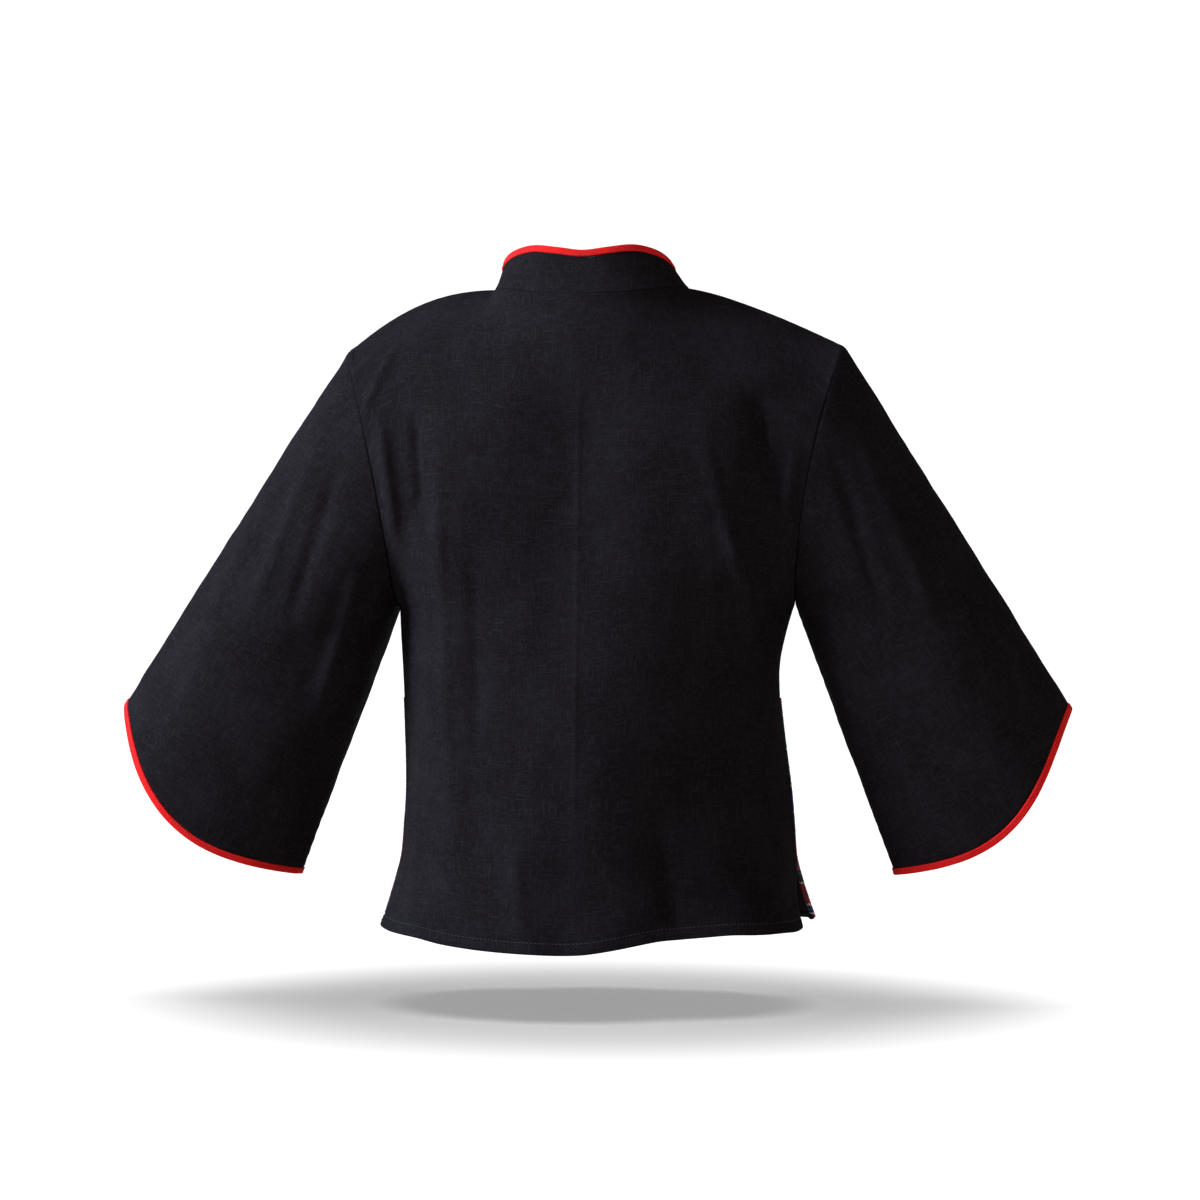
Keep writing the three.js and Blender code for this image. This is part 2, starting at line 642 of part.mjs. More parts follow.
// A closed wall of cloth under a sheet: its outside, its inside and the rim between them
function makeWall({ name, sheet, wall, seams = [], proud = 0, colour, roughness }) {
  const { grid, normals, closed, facesOut } = sheet;
  const rows = grid.length;
  const columns = grid[0].length;
  const directions = grid.map((row, i) => row.map((place, j) => {
    const own = normals[i][j];
    const shared = isRim(sheet, i, j) ? seamNormals.get(seamKey(place)).clone().normalize() : own;
    return shared.clone().divideScalar(Math.max(shared.dot(own), 0.6));
  }));
  seams.forEach((edge) => drawBack(sheet, edge));

  const positions = [];
  for (const depth of [proud, proud - wall]) {
    grid.forEach((row, i) => row.forEach((place, j) => {
      positions.push(...place.clone().addScaledVector(directions[i][j], depth).toArray());
    }));
  }
  const outside = (i, j) => i * columns + (j % columns);
  const inside = (i, j) => rows * columns + outside(i, j);
  const triangles = [];
  const cornerOf = (index) => point(...positions.slice(3 * index, 3 * index + 3));
  const addFace = (a, b, c, d) => {
    const splitAtA = cornerOf(a).distanceTo(cornerOf(c)) <= cornerOf(b).distanceTo(cornerOf(d));
    const corners = splitAtA ? [a, b, c, a, c, d] : [b, c, d, b, d, a];
    triangles.push(...(facesOut ? corners : corners.reverse()));
  };
  const lastColumn = closed ? columns : columns - 1;
  for (let j = 0; j < lastColumn; j += 1) {
    for (let i = 0; i < rows - 1; i += 1) {
      addFace(outside(i, j), outside(i, j + 1), outside(i + 1, j + 1), outside(i + 1, j));
      addFace(inside(i, j), inside(i + 1, j), inside(i + 1, j + 1), inside(i, j + 1));
    }
    addFace(outside(0, j + 1), outside(0, j), inside(0, j), inside(0, j + 1));
    addFace(outside(rows - 1, j), outside(rows - 1, j + 1), inside(rows - 1, j + 1), inside(rows - 1, j));
  }
  if (!closed) {
    for (let i = 0; i < rows - 1; i += 1) {
      const j = lastColumn;
      addFace(outside(i, 0), outside(i + 1, 0), inside(i + 1, 0), inside(i, 0));
      addFace(outside(i + 1, j), outside(i, j), inside(i, j), inside(i + 1, j));
    }
  }
  const geometry = new THREE.BufferGeometry();
  geometry.setAttribute('position', new THREE.Float32BufferAttribute(positions, 3));
  geometry.setIndex(triangles);
  geometry.computeVertexNormals();
  const material = new THREE.MeshStandardMaterial({ color: colour, roughness, metalness: 0 });
  const mesh = new THREE.Mesh(geometry, material);
  mesh.name = name;
  return mesh;
}

const linen = { wall: CLOTH_WALL, colour: CLOTH_COLOUR, roughness: 0.9 };
const collarCloth = { ...linen, wall: COLLAR_WALL };
const binding = { wall: BINDING_WALL, proud: BINDING_PROUD, colour: BINDING_COLOUR, roughness: 0.7 };
const stitched = { wall: SKIN_WALL, colour: EMBROIDERY_COLOUR, roughness: 0.85 };

const fronts = { left: frontSheet(1), right: frontSheet(-1) };
const pieces = [
  { name: 'back', sheet: backSheet(), seams: ['top', 'first', 'last'], ...linen },
  { name: 'front_left', sheet: fronts.left, seams: ['top', 'last'], ...linen },
  { name: 'front_right', sheet: fronts.right, seams: ['top', 'last'], ...linen },
  { name: 'front_embroidery_left', sheet: embroiderySheet(fronts.left), ...stitched },
  { name: 'front_embroidery_right', sheet: embroiderySheet(fronts.right), ...stitched },
  { name: 'sleeve_left', sheet: sleeveSheet(1), seams: ['top', 'bottom'], ...linen },
  { name: 'sleeve_right', sheet: sleeveSheet(-1), seams: ['top', 'bottom'], ...linen },
  { name: 'cuff_binding_left', sheet: cuffBindingSheet(1), seams: ['top'], ...binding },
  { name: 'cuff_binding_right', sheet: cuffBindingSheet(-1), seams: ['top'], ...binding },
  { name: 'collar', sheet: collarSheet(), seams: ['top', 'bottom', 'first', 'last'], ...collarCloth },
  { name: 'collar_binding', sheet: collarBindingSheet(), seams: ['top'], ...binding },
];
meetAtSeams(pieces);

const jacket = new THREE.Group();
pieces.forEach((piece) => jacket.add(makeWall(piece)));

export default jacket;
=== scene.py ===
# %% [markdown]
# # A jacket of black slubby linen, built in Blender
# The real jacket is sewn from flat pieces: a back, two fronts, two wide sleeves and a stand collar,
# bound at the collar and cuffs with red bias tape. This lesson dresses the plain construction model
# in the same order: each sheet of cloth is taken from the model, laid flat as its cut, creased, and
# sewn with real stitches. Everything is in metres: the front faces -Y and the wearer's left is +X.

# %% Load the frame
import math
import random

import bmesh
import bpy
import numpy as np
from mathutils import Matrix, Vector


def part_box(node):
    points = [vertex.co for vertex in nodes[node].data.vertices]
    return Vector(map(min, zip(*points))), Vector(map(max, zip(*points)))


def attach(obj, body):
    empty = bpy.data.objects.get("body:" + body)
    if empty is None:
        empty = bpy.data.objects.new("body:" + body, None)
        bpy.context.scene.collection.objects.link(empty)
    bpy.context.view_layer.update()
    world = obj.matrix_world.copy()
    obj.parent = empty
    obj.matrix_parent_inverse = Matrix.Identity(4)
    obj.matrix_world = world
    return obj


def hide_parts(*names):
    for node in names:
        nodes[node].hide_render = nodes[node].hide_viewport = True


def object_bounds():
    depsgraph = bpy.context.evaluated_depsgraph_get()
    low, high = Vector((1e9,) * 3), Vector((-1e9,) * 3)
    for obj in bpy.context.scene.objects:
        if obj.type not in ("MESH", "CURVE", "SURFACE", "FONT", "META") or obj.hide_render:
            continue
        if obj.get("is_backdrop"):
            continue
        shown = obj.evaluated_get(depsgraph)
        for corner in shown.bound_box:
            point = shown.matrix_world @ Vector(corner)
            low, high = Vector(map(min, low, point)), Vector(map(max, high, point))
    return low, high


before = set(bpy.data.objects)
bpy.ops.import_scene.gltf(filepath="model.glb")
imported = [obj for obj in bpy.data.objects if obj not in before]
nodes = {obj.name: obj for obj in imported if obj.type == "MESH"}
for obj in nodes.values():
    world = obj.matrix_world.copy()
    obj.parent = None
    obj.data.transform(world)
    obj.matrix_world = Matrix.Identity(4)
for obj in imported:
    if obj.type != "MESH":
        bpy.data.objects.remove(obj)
cad_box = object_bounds()
print("the construction model has", len(nodes), "nodes")

# %% [markdown]
# ## Where the camera stands
# The jacket is seen from behind, from the height of its middle, with the camera a few degrees
# towards the wearer's right. A long lens keeps the sleeves in proportion. The camera is placed on a
# circle round the jacket, so one angle and one distance describe it.

# %% Camera
MM = 0.001
CAMERA_DISTANCE = 2.479
CAMERA_TURN = math.radians(5)
VIEW_WIDTH = 1.05
SENSOR = 36
look_at = Vector((-0.0035, 0, -0.274))


def in_scene(thing):
    bpy.context.scene.collection.objects.link(thing)
    return thing


def add_camera():
    data = bpy.data.cameras.new("camera")
    data.sensor_width = SENSOR
    data.lens = SENSOR * CAMERA_DISTANCE / VIEW_WIDTH
    camera = in_scene(bpy.data.objects.new("camera", data))
    away = Vector((-math.sin(CAMERA_TURN), math.cos(CAMERA_TURN), 0))
    camera.location = look_at + away * CAMERA_DISTANCE
    camera.rotation_euler = (-away).to_track_quat("-Z", "Y").to_euler()
    bpy.context.scene.camera = camera
    return camera


camera = add_camera()
print("camera at", [round(v, 3) for v in camera.location], "lens", round(camera.data.lens, 1))

# %% [markdown]
# ## Wiring up a material
# Every finish here is a small graph of nodes: some make a pattern, and one shader turns it into a
# surface. Blender's own calls take several lines a node, so four short helpers come first. One of
# them fills a node's inputs by name, or by number as _0, _1 and so on.

# %% Helpers for materials
def wire(tree, source, target):
    tree.links.new(source, target)


def fill(tree, made, values):
    """Fills a node's inputs, each with a number or with another node's output."""
    for key, value in values.items():
        socket = made.inputs[int(key[1:])] if key[0] == "_" else made.inputs[key.replace("__", " ")]
        if isinstance(value, bpy.types.NodeSocket):
            wire(tree, value, socket)
        else:
            socket.default_value = value
    return made


def add_node(tree, kind, settings=(), **values):
    """A node with its settings, and its inputs filled."""
    made = tree.nodes.new(kind)
    for key, value in dict(settings).items():
        setattr(made, key, value)
    return fill(tree, made, values)


def principled(name, colour, roughness):
    """A new material with one Principled shader. Returns the material, its node tree and the shader."""
    material = bpy.data.materials.new(name)
    material.use_nodes = True
    tree = material.node_tree
    shader = tree.nodes["Principled BSDF"]
    shader.inputs["Base Color"].default_value = (*colour, 1)
    shader.inputs["Roughness"].default_value = roughness
    return material, tree, shader


print("helpers for materials are ready")

# %% [markdown]
# ## A white floor and a white surround
# A product studio floods its paper with light until it burns out to white, so no horizon shows and
# only a soft shadow is left under the jacket, which hangs just above the floor. Here the floor is
# one wide sheet that glows, least in an oval under the jacket: that is a painted shadow, which the
# overhead light's real shadow deepens. The surround is white to the camera but dim as a lamp.

# %% Stage
FLOOR_DROP = 0.057
FLOOR_SIZE = 40.0
PAINTED_SHADOW_HALF_SIZE = (0.50, 0.40)
GLOW_IN_PAINTED_SHADOW = 0.31
GLOW_OUTSIDE = 0.8
PAINTED_SHADOW_START, PAINTED_SHADOW_END = 0.42, 1.0  # where the glow starts to rise out of its painted shadow and is full, as shares of the shadow's half size
PAPER = (0.86, 0.86, 0.86)
SURROUND_AS_LAMP = 0.06
SURROUND_AS_SEEN = 1.1
floor_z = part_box("back")[0].z - FLOOR_DROP


def add_floor():
    half = FLOOR_SIZE / 2
    corners = [(x * half, y * half, floor_z) for x, y in ((-1, -1), (1, -1), (1, 1), (-1, 1))]
    mesh = bpy.data.meshes.new("paper_floor")
    mesh.from_pydata(corners, [], [(0, 1, 2, 3)])
    floor = in_scene(bpy.data.objects.new("paper_floor", mesh))
    material, tree, shader = principled("white_paper_with_painted_shadow", PAPER, 0.9)
    shader.inputs["Specular IOR Level"].default_value = 0
    shader.inputs["Emission Color"].default_value = (1, 1, 1, 1)
    place = add_node(tree, "ShaderNodeTexCoord").outputs["Object"]
    to_painted_shadow = (1 / PAINTED_SHADOW_HALF_SIZE[0], 1 / PAINTED_SHADOW_HALF_SIZE[1], 0)
    scaled = add_node(tree, "ShaderNodeVectorMath", {"operation": "MULTIPLY"}, _0=place, _1=to_painted_shadow)
    radius = add_node(tree, "ShaderNodeVectorMath", {"operation": "LENGTH"}, _0=scaled.outputs[0])
    # painted shadow: the floor's glow is lowest in an oval under the jacket and rises to full outside it
    painted_shadow_glow = add_node(
        tree, "ShaderNodeMapRange", {"interpolation_type": "SMOOTHSTEP"}, Value=radius.outputs["Value"],
        From__Min=PAINTED_SHADOW_START, From__Max=PAINTED_SHADOW_END, To__Min=GLOW_IN_PAINTED_SHADOW, To__Max=GLOW_OUTSIDE,
    )
    wire(tree, painted_shadow_glow.outputs["Result"], shader.inputs["Emission Strength"])
    grain = add_node(tree, "ShaderNodeTexNoise", Scale=900).outputs["Fac"]
    bump = add_node(tree, "ShaderNodeBump", Height=grain, Strength=0.05, Distance=0.1 * MM)
    wire(tree, bump.outputs["Normal"], shader.inputs["Normal"])
    mesh.materials.append(material)
    floor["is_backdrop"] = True
    return floor


def add_surround():
    world = bpy.data.worlds.new("studio")
    bpy.context.scene.world = world
    world.use_nodes = True
    tree = world.node_tree
    background = tree.nodes["Background"]
    background.inputs["Color"].default_value = (1, 1, 1, 1)
    seen = add_node(tree, "ShaderNodeLightPath").outputs["Is Camera Ray"]
    strength = add_node(
        tree, "ShaderNodeMapRange", Value=seen, To__Min=SURROUND_AS_LAMP, To__Max=SURROUND_AS_SEEN
    )
    wire(tree, strength.outputs["Result"], background.inputs["Strength"])


floor = add_floor()
add_surround()
print("floor at", round(floor_z, 3))

# %% [markdown]
# ## Soft studio light
# A wide overhead light floods the paper and casts a real soft shadow under the hem, on top of the
# shadow painted into the paper's glow. One large cool softbox to the left rakes across the cloth, so
# that every fold turns from light to dark, and a weak warm one fills the right. Both are kept off the
# paper, which has its own glow with the painted shadow in it. What shows on black cloth is the turn
# of its surface, not its colour.

# %% Lights
OVERHEAD_STRENGTH = 1.3
OVERHEAD_SPREAD = math.radians(48)
SOFTBOXES = [
    # name, place, power in watts, size, colour
    ("key_softbox", (2.15, 0.78, 0.85), 235, (0.8, 1.3), (0.66, 0.82, 1.0)),
    ("warm_fill", (-2.1, 1.3, 0.1), 3, (1.0, 1.5), (1.0, 0.66, 0.56)),
]


def add_light(name, kind, place, energy, colour):
    data = bpy.data.lights.new(name, kind)
    data.energy = energy
    data.color = colour
    light = in_scene(bpy.data.objects.new(name, data))
    light.location = place
    light.rotation_euler = (look_at - Vector(place)).to_track_quat("-Z", "Y").to_euler()
    return light


overhead = add_light("overhead", "SUN", (0.0, 0.15, 2.0), OVERHEAD_STRENGTH, (1, 1, 1))
overhead.data.angle = OVERHEAD_SPREAD
unlit = bpy.data.collections.new("not lit by the softboxes")
unlit.objects.link(floor)
unlit.collection_objects[0].light_linking.link_state = "EXCLUDE"
for name, place, power, size, colour in SOFTBOXES:
    box = add_light(name, "AREA", place, power, colour)
    box.data.shape = "RECTANGLE"
    box.data.size, box.data.size_y = size
    box.light_linking.receiver_collection = unlit
bpy.context.scene.view_settings.view_transform = "Standard"
print(len(SOFTBOXES), "softboxes and one overhead light")

# %% [markdown]
# ## Reading a sheet of cloth from the construction model
# In the model each sheet is a thin closed wall. Only its outer skin is wanted, as a tidy grid of
# points, because a grid is easy to refine, to lay flat and to crease. The rim gives itself away:
# each of its triangles has one very short edge, which is as long as the wall is thick.

# %% Outer skins
WELD = 0.01 * MM
THICKEST_WALL = 2.75 * MM


def islands(faces):
    """Groups of faces that join along edges, out of the faces given."""
    wanted = set(faces)
    groups = []
    while wanted:
        first = wanted.pop()
        group = {first}
        queue = [first]
        while queue:
            for edge in queue.pop().edges:
                for face in edge.link_faces:
                    if face in wanted:
                        wanted.remove(face)
                        group.add(face)
                        queue.append(face)
        groups.append(group)
    return groups


def outer_skin(name):
    """The outside of a walled node: a bmesh that holds only those faces."""
    wall = bmesh.new()
    wall.from_mesh(nodes[name].data)
    bmesh.ops.remove_doubles(wall, verts=wall.verts, dist=WELD)
    skins = [f for f in wall.faces if min(e.calc_length() for e in f.edges) > THICKEST_WALL]
    groups = sorted(islands(skins), key=lambda group: sum(face.calc_area() for face in group))
    outside = groups[-1]
    others = [face for face in wall.faces if face not in outside]
    bmesh.ops.delete(wall, geom=others, context="FACES")
    wall.normal_update()
    return wall


# %% [markdown]
# A skin's points are put in rows by walking down it. The first row is known, as part of its border.
# The next row is every point that touches it and hasn't been used yet, and so on down to the hem.
# A row that closes on itself, as round a sleeve, is turned until each point lies under the one above.

# %% Rows and columns
def border_loops(skin):
    """The skin's borders, each as a list of points in order."""
    loose = {edge for edge in skin.edges if edge.is_boundary}
    loops = []
    while loose:
        edge = loose.pop()
        loop = [edge.verts[0], edge.verts[1]]
        while True:
            step = next((e for e in loop[-1].link_edges if e in loose), None)
            if step is None:
                break
            loose.remove(step)
            loop.append(step.other_vert(loop[-1]))
        if loop[0] is loop[-1]:
            loop.pop()
        loops.append(loop)
    return loops


def in_order(points, closed):
    """The points of a row, in order along it."""
    left = set(points)

    def beside(vert):
        return [e.other_vert(vert) for e in vert.link_edges if e.other_vert(vert) in left]

    ends = [vert for vert in points if len(beside(vert)) == 1]
    row = [points[0] if closed else ends[0]]
    left.remove(row[0])
    while left:
        onward = beside(row[-1])
        row.append(onward[0])
        left.remove(row[-1])
    return row


def touching(upper, lower):
    return all(any(e.other_vert(a) is b for e in a.link_edges) for a, b in zip(upper, lower))


def in_line(above, row, closed):
    """The row turned or reversed so that each point lies under the one above it."""
    turns = range(len(row)) if closed else [0]
    fits = []
    for line in (row, row[::-1]):
        for turn in turns:
            shifted = line[turn:] + line[:turn]
            if touching(above, shifted):
                length = sum((a.co - b.co).length for a, b in zip(above, shifted))
                fits.append((length, len(fits), shifted))
    return min(fits)[2]


def grid_of(skin, first_row, closed=False):
    """The skin's points as an array of rows, columns and coordinates, facing outwards."""
    rows = [first_row]
    used = set(first_row)
    while True:
        under = {e.other_vert(v) for v in rows[-1] for e in v.link_edges} - used
        if not under:
            break
        used |= under
        ordered = sorted(under, key=lambda v: tuple(v.co))
        rows.append(in_line(rows[-1], in_order(ordered, closed), closed))
    grid = np.array([[tuple(v.co) for v in row] for row in rows])
    across = grid[1, 1] - grid[1, 0]
    down = grid[2, 0] - grid[1, 0]
    facing = np.cross(down, across)
    outward = sum((f.normal for f in rows[1][0].link_faces), Vector())
    if Vector(facing).dot(outward) < 0:
        grid = np.concatenate([grid[:, :1], grid[:, :0:-1]], axis=1) if closed else grid[:, ::-1]
    return grid


def span(loop, start, end, avoid):
    """The part of a border from start to end that doesn't pass the point to avoid."""
    i = loop.index(start)
    turned = loop[i:] + loop[:i]
    k = turned.index(end)
    one_way = turned[: k + 1]
    other_way = [turned[0]] + turned[k:][::-1]
    return other_way if avoid in one_way else one_way


def furthest(loop, x=0.0, y=0.0, z=0.0):
    """The border point that lies furthest in one direction."""
    return max(loop, key=lambda v: v.co.x * x + v.co.y * y + v.co.z * z)


def panel_grid(name, side=0):
    """A body panel from its neckline and shoulder down to its hem. side is 0 for the whole back."""
    skin = outer_skin(name)
    loop = max(border_loops(skin), key=len)
    if side == 0:
        start, end, below = furthest(loop, x=1), furthest(loop, x=-1), furthest(loop, z=-1)
    else:
        start, end = furthest(loop, x=-1.5 * side, z=1), furthest(loop, x=1.5 * side, z=1)
        below = furthest(loop, x=side, z=-1)
    grid = grid_of(skin, span(loop, start, end, below))
    skin.free()
    return grid


def tube_grid(name):
    """A sleeve or cuff binding, from its upper edge down."""
    skin = outer_skin(name)
    loops = border_loops(skin)
    upper = max(loops, key=lambda loop: sum(v.co.z for v in loop) / len(loop))
    peak = upper.index(furthest(upper, z=1))
    grid = grid_of(skin, upper[peak:] + upper[:peak], closed=True)
    skin.free()
    return grid


SIDES = {"left": 1, "right": -1}
back_grid = panel_grid("back")
front_grids = {name: panel_grid(f"front_{name}", side) for name, side in SIDES.items()}
sleeve_grids = {name: tube_grid(f"sleeve_{name}") for name in SIDES}
print("back", back_grid.shape, "fronts", front_grids["left"].shape, front_grids["right"].shape)
print("sleeves", sleeve_grids["left"].shape, sleeve_grids["right"].shape)


def collar_grid():
    """The collar, from the neckline up, without its binding."""
    skin = outer_skin("collar")
    loop = max(border_loops(skin), key=len)
    low = sorted(loop, key=lambda v: v.co.z)
    middle = sum(v.co.x for v in low[:4]) / 4
    start = next(v for v in low if v.co.x > middle)
    end = next(v for v in low if v.co.x < middle)
    grid = grid_of(skin, span(loop, start, end, furthest(loop, z=1)))
    skin.free()
    return grid


collar = collar_grid()
print("collar", collar.shape, collar[0, 0], collar[0, -1], collar[-1, 11])

# %% [markdown]
# ## Finer cloth through the same points
# A smooth curve is run through every line of the grid, first along the rows and then down them. It
# passes through the model's own points, so two pieces that share a seam still share it. Where a seam
# has a corner, as at the side of the neck, the curve is allowed to break there.

# %% Smooth curves
def finer(points, per, corners=None):
    """Curves along the first axis, each step divided into "per". corners is 1 where a curve breaks."""
    count = len(points)
    ahead = np.empty_like(points)
    behind = np.empty_like(points)
    ahead[:-2] = (-3 * points[:-2] + 4 * points[1:-1] - points[2:]) / 2
    ahead[-2] = points[-1] - points[-2]
    ahead[-1] = ahead[-2]
    behind[2:] = (3 * points[2:] - 4 * points[1:-1] + points[:-2]) / 2
    behind[1] = points[1] - points[0]
    behind[0] = behind[1]
    middle = np.empty_like(points)
    middle[1:-1] = (points[2:] - points[:-2]) / 2
    middle[0], middle[-1] = ahead[0], behind[-1]
    if corners is None:
        leaving, arriving = middle, middle
    else:
        share = corners[..., None]
        leaving = middle + (ahead - middle) * share
        arriving = middle + (behind - middle) * share
    t = (np.arange(per) / per).reshape(1, per, 1, 1)
    start, end = points[:-1, None], points[1:, None]
    out, into = leaving[:-1, None], arriving[1:, None]
    curve = (
        start * (2 * t**3 - 3 * t**2 + 1)
        + out * (t**3 - 2 * t**2 + t)
        + end * (3 * t**2 - 2 * t**3)
        + into * (t**3 - t**2)
    )
    return np.concatenate([curve.reshape((count - 1) * per, *points.shape[1:]), points[-1:]])


def finer_grid(grid, per_row, per_column, row_corners=(), edge_corners=()):
    """A finer grid. row_corners are columns where the first row breaks, edge_corners rows where the
    first and last columns do."""
    breaks = np.zeros(grid.shape[:2])
    for column in row_corners:
        breaks[0, column] = 1
        breaks[1, column] = 0.4
    across = finer(grid.transpose(1, 0, 2), per_column, breaks.T).transpose(1, 0, 2)
    breaks = np.zeros(across.shape[:2])
    fade = np.clip(1 - np.arange(per_column) / per_column, 0, 1)
    for row in edge_corners:
        breaks[row, :per_column] = fade
        breaks[row, -per_column:] = fade[::-1]
    return finer(across, per_row, breaks)


def unit(vectors):
    return vectors / np.maximum(np.linalg.norm(vectors, axis=-1, keepdims=True), 1e-12)


def normals_of(cloth):
    return unit(np.cross(np.gradient(cloth, axis=0), np.gradient(cloth, axis=1)))


BACK_FINENESS = 9
CLOTH_FINENESS = 8
UNDERARM_ROW = 14
VENT_ROW = 22


def middle_first(grid):
    """A sleeve's grid opened along its underarm, which is half way round from the shoulder."""
    under = grid.shape[1] // 2
    turned = np.roll(grid, -under, axis=1)
    return np.concatenate([turned, turned[:, :1]], axis=1)


def neck_sides(grid):
    """The columns of a body panel at the sides of the neck, where its top edge is highest."""
    highest = grid[0, :, 2].max()
    return [j for j in range(grid.shape[1]) if highest - grid[0, j, 2] < 0.5 * MM]


cloths = {
    "back": finer_grid(
        back_grid, BACK_FINENESS, BACK_FINENESS, neck_sides(back_grid), [UNDERARM_ROW, VENT_ROW]
    )
}
for name in SIDES:
    grid = front_grids[name]
    cloths[f"front_{name}"] = finer_grid(
        grid, CLOTH_FINENESS, CLOTH_FINENESS, neck_sides(grid), [UNDERARM_ROW, VENT_ROW]
    )
    opened = middle_first(sleeve_grids[name])
    shoulder = opened.shape[1] // 2
    cloths[f"sleeve_{name}"] = finer_grid(opened, CLOTH_FINENESS, CLOTH_FINENESS, [shoulder])
cloths["collar"] = finer_grid(collar, CLOTH_FINENESS, CLOTH_FINENESS, neck_sides(collar))
for name, cloth in cloths.items():
    print(name, cloth.shape[:2], "points")

# %% [markdown]
# ## Laying each piece flat
# A weave looks right only if its threads run as they do on the flat cut. So each piece is unrolled:
# heights are measured along the cloth from its lower edge, and widths along its rows, less what a row
# gains by slanting. The result is a UV map in real metres, and its outline is the cut itself.

# %% Flat cuts
def steps_along(cloth, axis):
    return np.linalg.norm(np.diff(cloth, axis=axis), axis=-1)


def read_off(wanted, along, values):
    """Points or normals at the wanted distances, from those at the distances along a line."""
    return np.stack([np.interp(wanted, along, values[:, axis]) for axis in range(3)], axis=-1)


def edge_distances(cloth):
    """How far each point lies from the top, bottom, first and last edges, along the cloth."""
    down = np.concatenate([np.zeros((1, cloth.shape[1])), np.cumsum(steps_along(cloth, 0), axis=0)])
    along = np.concatenate([np.zeros((cloth.shape[0], 1)), np.cumsum(steps_along(cloth, 1), axis=1)], axis=1)
    return {"top": down, "bottom": down[-1] - down, "first": along, "last": along[:, -1:] - along}


def heights_along(cloth, start, end):
    """How far each point lies from the end of a sleeve, measured along the sleeve's own line."""
    line = unit(end - start)
    return (end - cloth) @ line


def widths_from(cloth, heights, column):
    """How far each point lies to one side of a column, measured across the grain."""
    steps = steps_along(cloth, 1)
    rises = np.diff(heights, axis=1)
    across = np.sqrt(np.maximum(steps**2 - rises**2, (0.2 * steps) ** 2))
    widths = np.concatenate([np.zeros((cloth.shape[0], 1)), np.cumsum(across, axis=1)], axis=1)
    return widths - widths[:, column : column + 1]


def lay_flat(name, cloth):
    middle = cloth.shape[1] // 2
    if name.startswith("sleeve"):
        heights = heights_along(cloth, cloth[0].mean(axis=0), cloth[-1].mean(axis=0))
        return np.stack([widths_from(cloth, heights, middle), heights], axis=-1)
    heights = edge_distances(cloth)["bottom"]
    column = {"front_left": 0, "front_right": cloth.shape[1] - 1}.get(name, middle)
    return np.stack([widths_from(cloth, heights, column), heights], axis=-1)


def cell_area(grid):
    """The area of a grid's cells, flat or in space."""
    side = grid[1:, 1:] - grid[:-1, :-1]
    other = grid[1:, :-1] - grid[:-1, 1:]
    if grid.shape[-1] == 2:
        return np.abs(side[..., 0] * other[..., 1] - side[..., 1] * other[..., 0]).sum() / 2
    return np.linalg.norm(np.cross(side, other), axis=-1).sum() / 2


flats = {name: lay_flat(name, cloth) for name, cloth in cloths.items()}
for name, flat in flats.items():
    size = flat.max(axis=(0, 1)) - flat.min(axis=(0, 1))
    print(name, "cut", size.round(3), "flat area", round(cell_area(flat), 4), "m2,",
          "hanging", round(cell_area(cloths[name]), 4))

# %% [markdown]
# ## Creases, puckers and the turned hem
# Linen never lies smooth. Sharp creases run where the cloth is drawn, as from the armholes; small
# waves lie everywhere; seams pucker; and the hem's double fold stands a little proud. Each is a
# simple formula for how far a point moves out along its normal, so they can be added up.

# %% Creases
CREASES = [
    # piece, 1 on the back or -1 on the front, from (x, z), to (x, z), half width, rise; millimetres
    ("back", 1, (6, -52), (9, -500), 1.6, 0.55),
    ("back", 1, (150, -112), (143, -205), 5.0, -2.6),
    ("back", 1, (181, -112), (164, -235), 5.5, 2.0),
    ("back", 1, (199, -122), (168, -50), 4.5, 1.6),
    ("back", 1, (128, -150), (118, -470), 6.0, 1.5),
    ("back", 1, (96, -230), (92, -420), 7.0, -1.1),
    ("back", 1, (-142, -100), (-160, -200), 5.0, -2.4),
    ("back", 1, (-118, -205), (-146, -330), 6.0, 2.0),
    ("back", 1, (-96, -120), (-128, -262), 7.0, 1.0),
    ("back", 1, (-176, -140), (-158, -250), 5.0, 1.4),
    ("back", 1, (-60, -470), (-78, -560), 8.0, -1.6),
    ("back", 1, (60, -470), (52, -560), 8.0, 1.3),
    ("front_left", -1, (150, -130), (140, -225), 6.0, -2.4),
    ("front_left", -1, (120, -160), (110, -330), 7.0, 1.8),
    ("front_left", -1, (60, -90), (96, -190), 8.0, 1.2),
    ("front_right", -1, (-150, -130), (-142, -225), 6.0, -2.4),
    ("front_right", -1, (-116, -150), (-104, -330), 7.0, 1.8),
    ("front_right", -1, (-56, -90), (-92, -200), 8.0, 1.1),
    ("sleeve_left", 1, (214, -150), (262, -300), 7.0, -2.0),
    ("sleeve_left", 1, (228, -120), (296, -290), 8.0, 1.8),
    ("sleeve_left", 1, (250, -110), (352, -330), 8.0, 1.3),
    ("sleeve_left", 1, (196, -236), (240, -372), 7.0, 1.6),
    ("sleeve_left", -1, (214, -150), (270, -310), 8.0, -1.8),
    ("sleeve_left", -1, (236, -120), (322, -320), 8.0, 1.6),
    ("sleeve_right", 1, (-208, -150), (-254, -300), 7.0, -1.8),
    ("sleeve_right", 1, (-226, -130), (-298, -300), 8.0, 1.7),
    ("sleeve_right", 1, (-252, -120), (-340, -330), 8.0, 1.2),
    ("sleeve_right", -1, (-212, -150), (-262, -310), 8.0, -1.8),
    ("sleeve_right", -1, (-236, -120), (-318, -320), 8.0, 1.5),
]


CREASE_STRENGTH = 1.7


def smooth(value, low, high):
    t = np.clip((value - low) / (high - low), 0, 1)
    return t * t * (3 - 2 * t)


